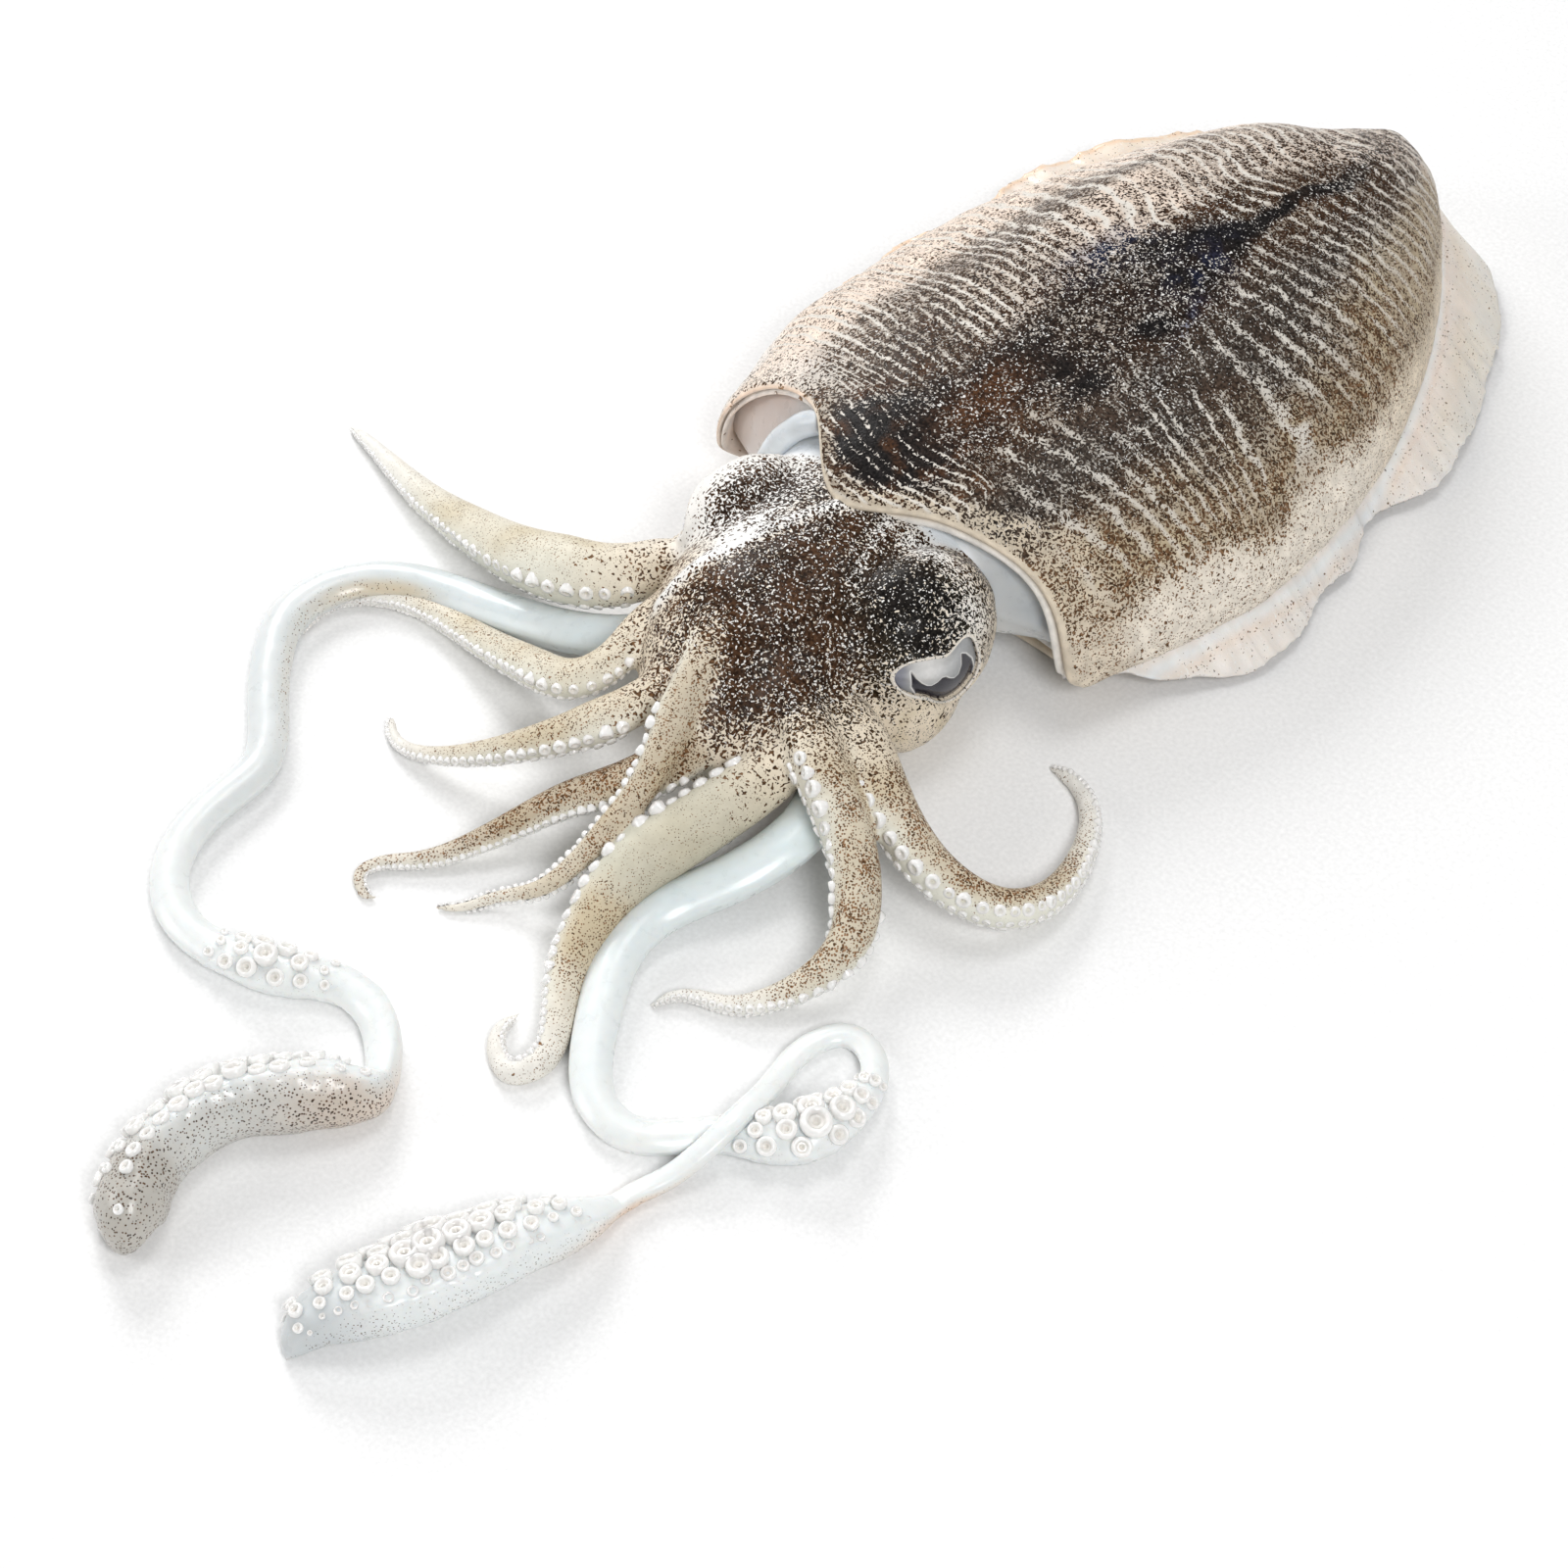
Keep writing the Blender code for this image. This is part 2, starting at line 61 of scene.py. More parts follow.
# Lights: name, place, size and power, all turned to one point, in metres and watts.
LIGHTS = [("key", (-0.95, 0.42, 0.68), 0.6, 9.0), ("top", (-0.1, 0.3, 1.2), 0.5, 3.0),
          ("fill", (0.75, -0.35, 0.85), 0.4, 6.5), ("front", (-0.75, -0.8, 0.5), 0.6, 3.5)]
LIT_POINT = (0.0, 0.0, 0.02)
SURROUND_STRENGTH = 0.29
# The lowest that a moved point may lie, and the reach of pigment where there is none.
ABOVE_GROUND = 0.05
UNMARKED = -0.3

# Mantle. Shares run from 0 at the tip of the dorsal tongue to 1 at the tail.
MID_X = -21.0
FRONT_Y = 37.0
MANTLE_LENGTH = 189.0
MANTLE_HALF_WIDTH = 63.5
WIDEST_AT = 0.35
MANTLE_TOP = 49.5
EDGE_Z = 13.0
TAIL_Z = 16.0
BELLY_Z = -1.0
MANTLE_COLUMNS = 340
MANTLE_RINGS = 225
# Angles round the mantle: where its crowded upper part begins and ends, and where the turn is full.
MANTLE_TURNS = (-12.0, 192.0, 348.0)
# The free front margin: angle round the body from its near side over the back, and how far it
# lies behind the tip of the tongue over the neck.
MARGIN = [(-90, 26), (-45, 26), (-20, 21.5), (0, 17), (20, 17), (38, 18), (52, 16), (61, 13.5), (69, 10.5),
          (77, 6), (85, 1.5), (91, 0.5), (97, 2.5), (106, 9), (113, 14.5), (122, 17.5), (135, 18), (160, 15),
          (185, 15), (225, 24), (270, 26)]
# The margin's double lip and the wall inside it: how far behind the margin and how far inside.
LIP = [(-0.4, 0.15), (-0.9, 0.6), (-1.1, 1.2), (-0.9, 1.8), (-0.2, 2.2), (0.7, 2.4), (1.0, 2.75), (0.6, 3.15),
       (-0.3, 3.4), (-0.9, 3.9), (-1.0, 4.5), (-0.6, 5.1), (0.4, 5.5), (2.0, 5.6), (4.5, 5.2), (8.0, 5.0),
       (13.0, 5.0), (18.0, 8.0), (22.0, 12.0), (26.0, 17.0)]
# How many rows of the lip belong to its outer bead, to its groove and to its inner bead.
LIP_ROWS = (5, 8, 14)
# The dark band down the back: how far along, its far and near edges, and how dark it is.
DARK_BAND = [(38, -30, -16, 0.45), (44, -36, -11, 0.9), (52, -40, -7, 0.92), (60, -38, -5, 0.85),
             (67, -30, -6, 0.8), (75, -26, -8, 0.85), (84, -25, -6, 0.85), (91, -25, -3, 0.9),
             (100, -27, 0, 0.66), (112, -30, 3, 0.62), (122, -31, 4, 0.66), (132, -29, -1, 0.8),
             (141, -22, -5, 0.9), (149, -17.5, -8, 0.95), (156, -15, -9.5, 0.9), (170, -14, -9.5, 0.9),
             (183, -14, -8.5, 0.85), (195, -16, -11, 0.6), (210, -20, -15, 0.3), (226, -22, -20, 0.0)]
# Its darkest spots: place along and across, size, and depth.
DARK_SPOTS = [(-5, 114, 4.5, 8, 0.97), (-12, 129, 4, 6, 0.95), (-12, 70, 3.5, 7, 0.92), (-4, 91, 4, 9, 0.9),
              (-10, 90, 5, 4.5, 1.0), (-19, 84, 4, 5, 0.5), (-14, 145, 5, 6, 1.0), (-9, 131, 3, 7, 0.9),
              (-11, 177, 2.2, 6, 0.9), (-18, 66, 5, 5, 0.6), (-32, 50, 6, 5, 0.9), (-19, 52, 8, 4, 0.8),
              (4, 104, 4, 8, 0.6), (12, 170, 4, 8, 0.3), (12, 88, 5, 4, 0.35), (-38, 78, 7, 5, 0.25),
              (-46, 112, 4, 6, 0.3)]
# Soft spots, each as strength, middle and size: the pale front lobe (partly a painted highlight), colours in the
# pigment, and bumps.
PALE_FRONT = [(0.8, (-54.0, 56.0), (8.0, 6.0))]
VIOLET_SPOTS = [(0.6, (-29.0, 122.0), (1.8, 7.0))]
RUST_SPOTS = [(1.2, (-15.5, 74.0), (4.5, 10.0))]
NAVY_SPOTS = [(1.0, (-27.0, 124.0), (3.5, 9.0)), (0.8, (-9.0, 136.0), (4.5, 8.0))]
TAIL_BUMPS = [(1.4, (-23.5, 220.0, 26.0), (2.6, 3.5, 5.0)), (-1.5, (-36.0, 206.0, 31.0), (9.0, 9.0, 8.0))]

# How steeply the pale lines on the near side rise outwards, along the body.
STRIPE_SLOPE = [(30, 0.3), (60, 0.3), (82, 0.26), (97, -0.08), (108, -0.26), (122, 0.0), (140, 0.26),
                (165, 0.42), (230, 0.5)]

# Fins: shares of the mantle's length, and how far out from the midline the frill's edge lies.
FIN_EDGE = [(0.1, 47), (0.16, 55), (0.2, 61), (0.27, 69), (0.35, 71), (0.43, 66), (0.48, 66), (0.54, 60.5),
            (0.6, 62), (0.65, 63.5), (0.7, 61.5), (0.77, 56.5), (0.84, 49.5), (0.9, 43), (0.94, 37.5),
            (0.97, 31), (0.985, 24), (0.995, 13)]
FIN_STATIONS = 480
FIN_ACROSS = 24
# How far the middle of the far fin is held out from the flank instead of hanging.
FAR_FIN_LIFT = 10.0

# Collar: how far out and how far back it is, as shares of the way from the neck to the wall.
COLLAR = [(0.0, 0.0), (0.12, 0.25), (0.3, 0.45), (0.5, 0.62), (0.7, 0.76), (0.86, 0.88), (1.0, 1.0)]
COLLAR_THICK = 1.6

# The moist strand that shows in the far lobe, beside the neck.
STRAND = [(-54, 44, 14), (-52.5, 46, 20.5), (-50.5, 47.5, 26.5), (-48, 49, 31.5), (-44.5, 50.5, 36),
          (-40, 52, 39)]
STRAND_RADIUS = 2.9

# Head and neck sections: y, middle x, middle z, half width, half height.
HEAD = [(84, -21, 21, 44, 16), (64, -21, 20.5, 35, 17), (48, -21, 20.5, 29, 19), (32, -19, 21, 28, 20),
        (14, -18, 20.5, 26, 20), (2, -17, 20, 23, 18.5), (-8, -15, 18, 18.5, 15), (-17, -13, 16, 12, 11)]
# Eye bulges: middle and half sizes of the near one, the swelling under it and the far one.
EYE_BULGES = [((3.5, 33.0, 21.5), (15.0, 20.0, 19.0)), ((7.0, 26.0, 13.5), (12.0, 14.0, 12.5)),
              ((-40.0, 31.0, 22.0), (13.5, 17.0, 17.5))]
HEAD_MIDDLE = np.array([-16.0, 14.0, 12.0])
# Where the arms meet, seen from above, how far each reaches in towards it, and where their roots are
# blended most.
CROWN = np.array([-17.0, 7.0])
ARM_OVERLAP = 11.0
CROWN_FRONT = np.array([-12.0, -4.0])
VOXEL = 0.74
# What a point of the head's skin belongs to, where that isn't an arm.
OF_HEAD = -1
OF_EYE = -2
# Soft spots on the head, each as strength, middle and size.
CROWN_BROWN = [(2.0, (-8.0, 18.0, 37.0), (14.0, 22.0, 16.0))]
EYE_PATCH = [(1.1, (5.0, 28.0, 40.0), (7.0, 7.0, 8.0)), (1.1, (13.5, 29.5, 34.0), (5.5, 6.0, 6.0))]
FAR_SPOTS = [(1.0, (-38.0, 23.5, 37.5), (3.6, 5.5, 8.0)), (1.0, (-32.5, 34.5, 38.5), (6.5, 7.0, 9.0))]
# Painted highlights on top of the near eye bulge: white skin with the pigment cells cleared.
PAINTED_HIGHLIGHTS = [(1.0, (-1.0, 41.5, 37.0), (7.0, 3.0, 6.0)), (0.7, (15.0, 39.0, 33.0), (3.5, 5.0, 8.0))]
CHEEK = [(1.0, (14.0, 16.0, 13.0), (12.0, 15.0, 9.0))]

Arm = namedtuple("Arm", "name root_z drop belly belly_at root tip taper turn route")
Tentacle = namedtuple("Tentacle", "name root_z drop stalk patch club ends blunt hump turn rows route")
Limb = namedtuple("Limb", "line oral across wide tall arc")
# The share of a limb's half height at which its middle lies over the ground.
LYING = 0.85

# Each route is the centreline seen from above, from the head to the tip. turn is how far the
# sucker side is turned from facing down, towards the right of the way to the tip, at root and tip.
ARMS = [
    Arm("far_ventral", 17, 70, 8.1, 0.25, 6.7, 0.9, 1.0, (-38, -45),
        [(-46.5, 15), (-53.5, 6.5), (-63, 0.5), (-77, -2), (-95, -1), (-113.5, 0.5), (-131.5, 3.5), (-142.5, 5)]),
    Arm("far_side", 21, 70, 4.8, 0.33, 3.9, 1.2, 1.0, (-40, -45),
        [(-37, 4), (-38, -2.5), (-36.5, -11), (-39.5, -19.5), (-51.5, -21.5), (-68, -20.5), (-83.5, -20.5),
         (-96, -25.5), (-102, -33), (-100.5, -45.5)]),
    Arm("far_upper", 23, 70, 5.2, 0.28, 4.6, 1.1, 1.4, (-38, -40),
        [(-20.5, -7.5), (-22.5, -19.5), (-27.5, -29), (-35.5, -37), (-46.5, -44.5), (-56, -48.5), (-63.5, -49),
         (-67.5, -47), (-70.5, -44)]),
    Arm("far_dorsal", 34, 85, 4.3, 0.3, 4.2, 0.9, 1.3, (50, 30),
        [(-19.5, 6), (-15, -8), (-12.5, -16.5), (-9.5, -24.5), (-7.5, -32.5), (-8, -41.5), (-9, -49.5),
         (-12, -57), (-18, -62.5), (-22, -68.5), (-27.5, -73)]),
    Arm("near_dorsal", 20, 75, 5.8, 0.2, 5.7, 1.1, 1.3, (-20, -30),
        [(-11.5, -3), (-8.5, -15), (-10, -24.5), (-14, -31.5), (-20.5, -39), (-26, -48.5), (-31, -58.5),
         (-37, -67.5), (-41.5, -72.5), (-42.5, -77), (-40.5, -79), (-37, -79.5), (-35.5, -77)]),
    Arm("near_upper", 18, 70, 6.7, 0.3, 6.2, 1.3, 1.1, (60, 60),
        [(4.5, -4.5), (5.5, -20.5), (2.5, -34), (0.5, -46), (2.5, -57.5), (8.5, -69.5), (16, -79), (17.5, -85),
         (15, -89), (10.5, -88), (6.5, -84.5), (5, -77)]),
    Arm("near_side", 24, 75, 6.7, 0.15, 6.5, 0.9, 1.0, (70, -60),
        [(4.5, -0.5), (16.5, -6.5), (28, -11.5), (37, -17), (42.5, -24), (43, -33), (39.5, -41.5), (33, -48.5),
         (24.5, -53), (21.5, -60.5)]),
    Arm("near_ventral", 20, 70, 6.2, 0.15, 6.6, 0.9, 0.8, (60, 70),
        [(11, 7), (23.5, 2), (34.5, -2), (46.5, -2.5), (57, 3), (60.5, 14), (57.5, 26.5), (51.5, 36), (43, 41),
         (34, 41)]),
]

# For each arm: how densely its back is dotted, how dark its ground is, how much worm-like pigment
# it has, and how glassy its upper part is.
ARM_LOOK = {"far_ventral": (0.10, 0.15, 0.0, 0.1), "far_side": (0.15, 0.35, 0.03, 0.0),
            "far_upper": (0.16, 0.55, 0.05, 0.0), "far_dorsal": (0.22, 0.75, 0.06, 0.0),
            "near_dorsal": (0.36, 0.95, 0.22, 0.0), "near_upper": (0.24, 0.55, 0.0, 0.9),
            "near_side": (0.40, 0.6, 0.05, 0.0), "near_ventral": (0.44, 0.7, 0.05, 0.0)}

# stalk: half width at root and before the club. patch and club: (arc length at its middle, half
# length, half width). ends: how late the club narrows to its neck, and how much to its tip. blunt:
# the length over which the tip rounds off. hump: (arc length, height, half length) where a tentacle
# passes over itself. turn: (arc length, angle) of the sucker side. rows: first and last arc length
# of a row of suckers, their number, how far across the limb they stand (-1 to 1), and their radius.
TENTACLE_SIDES = 40
TENTACLES = [
    Tentacle("far", 12, 60, (4.7, 3.7), (201, 18, 4.6), (277, 35, 8.9), (4.0, 0.3), 7.0, None,
             [(0, 180), (212, 180), (250, 112)],
             [(189, 213, 6, -0.8, 2.3), (190, 212, 5, 0.0, 2.7), (189, 213, 6, 0.8, 2.3),
              (250, 303, 14, -0.98, 2.5), (252, 300, 11, -0.5, 3.0), (252, 298, 10, 0.0, 3.0),
              (250, 298, 11, 0.5, 2.7), (247, 303, 14, 0.98, 2.7)],
             [(-37.5, 6), (-48, -4), (-62.5, -10), (-80, -14), (-95, -20), (-103.5, -30.5), (-104.5, -42),
              (-97.5, -53.5), (-87.5, -63), (-77, -74), (-75.5, -85), (-73, -96.5), (-66.5, -106), (-55.5, -111),
              (-43.5, -109.5), (-32.5, -105), (-23, -99), (-13.5, -98.5), (-5, -103.5), (0.5, -112), (-4, -118),
              (-9, -124.5), (-14.5, -132), (-16.5, -142), (-15, -152.5), (-10.5, -160.5), (-6, -166)]),
    Tentacle("near", 13, 60, (5.2, 2.4), (137, 22, 5.6), (266, 36, 10.0), (1.7, 1.15), 8.5,
             (203, 5.5, 20), [(0, 180), (150, 180), (240, 148)],
             [(121, 155, 8, -0.9, 2.4), (123, 154, 7, -0.3, 3.0), (124, 154, 7, 0.35, 2.8),
              (121, 155, 9, 0.9, 2.0), (240, 293, 15, -1.0, 2.2), (242, 291, 11, -0.6, 3.1),
              (244, 291, 10, -0.15, 3.4), (242, 291, 11, 0.3, 3.1), (240, 292, 13, 0.72, 2.5),
              (238, 292, 18, 1.0, 1.5)],
             [(13.5, 0), (18, -12), (17.5, -21), (14, -31.5), (9.5, -42), (9.5, -53), (16, -65.5), (24.5, -76.5),
              (35, -83.5), (44, -82), (50.5, -75), (58, -68.5), (66, -61), (67.5, -49.5), (63.5, -39), (55, -37),
              (51, -44.5), (53.5, -57.5), (56, -69.5), (54.5, -82.5), (52, -90.5), (50, -103), (46.5, -112.5),
              (43.5, -121.5), (40.5, -131), (38, -138), (34.5, -145.5), (32, -153), (32.5, -159.5)]),
]

# Arm suckers: rows as (how far across the sucker side, size), both relative to the arm.
SUCKER_ROWS = [(-0.95, 1.3), (-0.38, 0.9), (0.38, 0.9), (0.95, 1.3)]
# The size of an arm's suckers, and how far from the head they begin, where these differ from the rest.
SUCKER_SCALE = {"far_ventral": 0.72, "far_side": 0.85, "near_dorsal": 0.8}
SUCKERS_FROM = {"far_dorsal": 26.0, "far_upper": 16.0, "near_dorsal": 20.0}
# A cup's profile from its stalk over the rim to the hollow, as (radius, height), for a rim of radius 1.
CUP = [(0.6, -1.0), (0.86, -0.35), (1.0, 0.1), (0.98, 0.38), (0.84, 0.58), (0.66, 0.6), (0.52, 0.44),
       (0.46, 0.26), (0.36, 0.33), (0.25, 0.27), (0.17, 0.0)]
SMALL_CUP = [(0.7, -0.9), (1.0, 0.15), (0.9, 0.55), (0.5, 0.5), (0.3, 0.15)]

# The middle of the near eye's opening, and the directions out of it and along it. The far eye is its
# mirror image, moved by the shift.
EYE_MIDDLE = np.array([16.96, 25.94, 26.53])
FAR_EYE_SHIFT = np.array([-35.1, -2.0, 0.0])
EYE_OUT = np.array([0.936, -0.276, 0.218])
EYE_ALONG = np.array([0.319, 0.927, -0.195])
# The opening's rim as (angle, radius) round (2, -2) in the eye's plane, and the dark pupil as (u, v).
RIM_MIDDLE = np.array([2.0, -2.0])
RIM = [(-178, 9.7), (-151, 6.2), (-90, 6.0), (-56, 8.4), (-32, 9.8), (-15, 10.2), (1, 10.2), (26, 9.8),
       (50, 10.2), (60, 9.4), (73, 7.0), (105, 5.9), (130, 7.5), (150, 9.9), (168, 11.0), (182, 9.7)]
PUPIL = [(-5.2, 1.1), (-4.1, -0.6), (-2.8, -1.9), (-1.6, -2.7), (-0.5, -2.9), (0.7, -2.3), (1.8, -1.4),
         (2.6, -1.4), (3.6, -2.1), (5.0, -2.6), (6.2, -2.0), (6.8, 0.0), (6.5, 2.6), (7.8, 2.0), (9.8, 0.0),
         (11.3, -3.0), (11.2, -6.0), (9.4, -8.6), (5.0, -9.6), (1.0, -8.2), (-2.4, -6.0), (-4.6, -2.6)]

# The folded noise's levels: share of the skin that pigment covers, and the level.
WORM_COVER = [(0.0, -0.3), (0.002, 0.04), (0.01, 0.118), (0.03, 0.178), (0.07, 0.232), (0.15, 0.287),
              (0.25, 0.33), (0.4, 0.376), (0.55, 0.412), (0.7, 0.447), (0.8, 0.471), (0.88, 0.495),
              (0.94, 0.521), (0.98, 0.552), (0.995, 0.583)]

# Linear colours.
COLOURS = {
    "taupe": (0.33, 0.275, 0.22), "grey": (0.36, 0.335, 0.30), "beige": (0.47, 0.385, 0.275),
    "yellow": (0.52, 0.42, 0.235), "cream": (0.80, 0.70, 0.56), "tan": (0.50, 0.37, 0.23),
    "sand": (0.66, 0.57, 0.42), "pale": (0.84, 0.70, 0.59), "white": (0.88, 0.87, 0.85),
    "bluish": (0.78, 0.82, 0.86), "pearl": (0.78, 0.77, 0.68), "sage": (0.56, 0.55, 0.45),
    "stone": (0.50, 0.475, 0.43), "mist": (0.47, 0.50, 0.52), "glassy": (0.70, 0.79, 0.81),
    "pink": (0.86, 0.78, 0.72), "peach": (0.80, 0.58, 0.42), "umber": (0.13, 0.065, 0.030),
    "chestnut": (0.21, 0.12, 0.06), "slate": (0.040, 0.034, 0.029), "stripe": (0.70, 0.66, 0.60),
    "bark": (0.085, 0.055, 0.033), "brown": (0.034, 0.018, 0.010), "rust": (0.075, 0.030, 0.011),
    "dark": (0.008, 0.007, 0.007), "navy": (0.009, 0.012, 0.028), "olive": (0.026, 0.022, 0.012),
    "violet": (0.20, 0.21, 0.28), "blush": (0.64, 0.54, 0.49), "silver": (0.17, 0.185, 0.20),
    "pupil": (0.016, 0.015, 0.026), "fleck": (0.88, 0.86, 0.83),
}


def smooth(x):
    """0 below 0, 1 above 1, and a smooth step between."""
    x = np.clip(x, 0.0, 1.0)
    return x * x * (3.0 - 2.0 * x)


def rise(value, start, width):
    """0 up to the start, 1 past it by the width, and a smooth step between."""
    return smooth((value - start) / width)


def fall(value, start, width):
    """1 up to the start, 0 past it by the width, and a smooth step between."""
    return 1.0 - rise(value, start, width)


def hill(value, middle, width):
    """1 at the middle, fading to both sides."""
    return np.exp(-((value - middle) / width) ** 2)


def settle(value, *steps):
    """Moves the value towards each step's target in turn, by that step's weight."""
    for target, weight in steps:
        value = value + (target - value) * weight
    return value


def cubic_through(knots, values, at):
    """Natural cubic spline through (knots, values), read at the positions in at."""
    knots, values = np.asarray(knots, float), np.asarray(values, float)
    gaps = np.diff(knots)
    system = np.eye(len(knots))
    right = np.zeros(len(knots))
    slopes = np.diff(values) / gaps
    for i in range(1, len(knots) - 1):
        system[i, i - 1:i + 2] = gaps[i - 1], 2.0 * (gaps[i - 1] + gaps[i]), gaps[i]
        right[i] = 6.0 * (slopes[i] - slopes[i - 1])
    bend = np.linalg.solve(system, right)
    k = np.clip(np.searchsorted(knots, at) - 1, 0, len(gaps) - 1)
    d, gap = at - knots[k], gaps[k]
    first = slopes[k] - gap * (2.0 * bend[k] + bend[k + 1]) / 6.0
    return values[k] + d * first + d * d * bend[k] / 2.0 + d ** 3 * (bend[k + 1] - bend[k]) / (6.0 * gap)


def curve(table, at):
    """A smooth curve through a table of (position, value), read at the positions in at."""
    return cubic_through(*np.array(table, float).T, at)


def degrees_from(first, angle):
    """An angle in degrees, taken round to lie between first and first + 360."""
    return np.mod(np.degrees(angle) - first, 360.0) + first


def unit(vectors):
    return vectors / (np.linalg.norm(vectors, axis=-1, keepdims=True) + 1e-12)


def wander(points, size, seed=0.0):
    """Smooth noise from about -1 to 1 at each point, with features of this size in mm."""
    flat = np.asarray(points, float).reshape(-1, 3) / size + seed
    values = [noise.noise(Vector(p)) for p in flat.tolist()]
    return np.array(values).reshape(np.shape(points)[:-1])


def glow(points, middle, size):
    """1 at the middle, fading over the size along as many axes as the middle has."""
    return np.exp(-0.5 * (((points[..., :len(middle)] - np.array(middle)) / np.array(size)) ** 2).sum(-1))


def glows(points, spots):
    """The sum of soft spots, each given as strength, middle and size."""
    return sum(strength * glow(points, middle, size) for strength, middle, size in spots)


def plain_colour(name, points):
    return np.broadcast_to(COLOURS[name], np.shape(points))


def paint(colours, *layers):
    """Lays named colours over the first ones in turn, each by its weight at each point."""
    for name, weight in layers:
        colours = colours + (np.array(COLOURS[name]) - colours) * np.clip(weight, 0.0, 1.0)[..., None]
    return colours


def worm_level(cover):
    """The level of the folded noise below which pigment shows, so that it covers this share of the skin."""
    table = np.array(WORM_COVER, float)
    return np.interp(cover, table[:, 0], table[:, 1])


def dot_size(cover):
    """How far pigment reaches round the scattered points of the dots, so that it covers this share."""
    return np.cbrt(-0.2387 * np.log(1.0 - np.clip(cover, 0.0, 0.9)))


class Mesh:
    """Points, faces and the values that the skin's material reads, gathered before the mesh is made."""

    def __init__(self):
        self.points, self.faces, self.size = [], [], 0
        self.fields = {}

    def add(self, points, faces, **fields):
        points = np.asarray(points, float).reshape(-1, 3)
        self.points.append(points)
        self.faces.extend([[index + self.size for index in face] for face in faces])
        self.size += len(points)
        for name, values in fields.items():
            self.fields.setdefault(name, []).append(np.asarray(values, float).reshape(len(points), -1))

    def make(self, name, material):
        points = (np.concatenate(self.points) + TO_ORIGIN) * MM
        mesh = bpy.data.meshes.new(name)
        mesh.from_pydata(points.tolist(), [], self.faces)
        mesh.shade_smooth()
        made = bpy.data.objects.new(name, mesh)
        bpy.context.scene.collection.objects.link(made)
        for field, values in self.fields.items():
            store(mesh, field, np.concatenate(values))
        mesh.materials.append(material)
        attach(made, BODY)
        return made


def store(mesh, field, values):
    """A number or a colour for each point of the mesh, under this name."""
    if values.shape[1] == 1:
        mesh.attributes.new(field, "FLOAT", "POINT").data.foreach_set("value", values.ravel())
    else:
        values = np.column_stack([values, np.ones(len(values))])
        mesh.attributes.new(field, "FLOAT_COLOR", "POINT").data.foreach_set("color", values.ravel())


def bare(points, reach=UNMARKED):
    """The values of skin without pigment or flecks at these points."""
    count = points.size // 3
    return {"ink": np.full((count, 3), 0.1), "reach": np.full(count, reach), "fleck": np.full(count, UNMARKED)}


def turn_round(count):
    """Even angles once round, without the last."""
    return np.linspace(0.0, 2.0 * math.pi, count, endpoint=False)


def grid_faces(rows, columns, ring=False):
    """Quads between rows of points that close on themselves; ring joins the last row to the first."""
    i, j = np.meshgrid(np.arange(rows if ring else rows - 1), np.arange(columns), indexing="ij")
    k, after = (j + 1) % columns, (i + 1) % rows
    quads = np.stack([i * columns + j, i * columns + k, after * columns + k, after * columns + j], axis=-1)
    return quads.reshape(-1, 4)


def surface_normals(grid):
    """Outward normals of a grid of points whose columns go round the body."""
    along = np.gradient(grid, axis=0)
    around = np.roll(grid, -1, axis=1) - np.roll(grid, 1, axis=1)
    return unit(np.cross(around, along))


def even_route(points, count, crowd=1.0):
    """count points along a smooth curve through points, and the arc length at each."""
    points = np.asarray(points, float)
    knots = np.concatenate([[0.0], np.cumsum(np.linalg.norm(np.diff(points, axis=0), axis=1))])
    fine = np.linspace(0.0, knots[-1], 40 * len(points))
    line = np.stack([cubic_through(knots, points[:, axis], fine) for axis in range(2)], axis=1)
    run = np.concatenate([[0.0], np.cumsum(np.linalg.norm(np.diff(line, axis=0), axis=1))])
    arc = run[-1] * (1.0 - (1.0 - np.linspace(0.0, 1.0, count)) ** crowd)
    return np.stack([np.interp(arc, run, line[:, axis]) for axis in range(2)], axis=1), arc


def resting_line(route, arc, half_height, root_z, drop):
    """Lifts a route seen from above: root_z high at the head, and lying on the ground after drop."""
    lift = smooth(1.0 - arc / drop)
    return np.column_stack([route, half_height + np.maximum(root_z - half_height, 0.0) * lift])


def frames(line, turn):
    """At each point: the direction the suckers face, and the direction across it."""
    along = unit(np.gradient(line, axis=0))
    right = unit(np.cross(along, (0.0, 0.0, 1.0)))
    up = np.cross(right, along)
    angle = np.radians(turn)[:, None]
    oral = -up * np.cos(angle) + right * np.sin(angle)
    return oral, np.cross(oral, along)


def arm_limb(spec, stations=150):
    first = np.array(spec.route[0], float)
    inward = (CROWN - first) / np.linalg.norm(CROWN - first)
    route, arc = even_route([first + ARM_OVERLAP * inward] + spec.route, stations, 1.15)
    arc = np.maximum(arc - ARM_OVERLAP, 0.0)
    share = arc / arc[-1]
    swell = spec.root + (spec.belly - spec.root) * smooth(share / spec.belly_at)
    beyond = np.clip((share - spec.belly_at) / (1.0 - spec.belly_at), 0.0, 1.0)
    half = spec.tip + (swell - spec.tip) * (1.0 - beyond) ** spec.taper
    half *= np.sqrt(1.0 - 0.9 * rise(share, 0.93, 0.07))
    line = resting_line(route, arc, LYING * half, spec.root_z, spec.drop)
    turn = spec.turn[0] + (spec.turn[1] - spec.turn[0]) * smooth(share * 1.4 - 0.2)
    oral, across = frames(line, turn)
    return Limb(line, oral, across, half, half, arc)


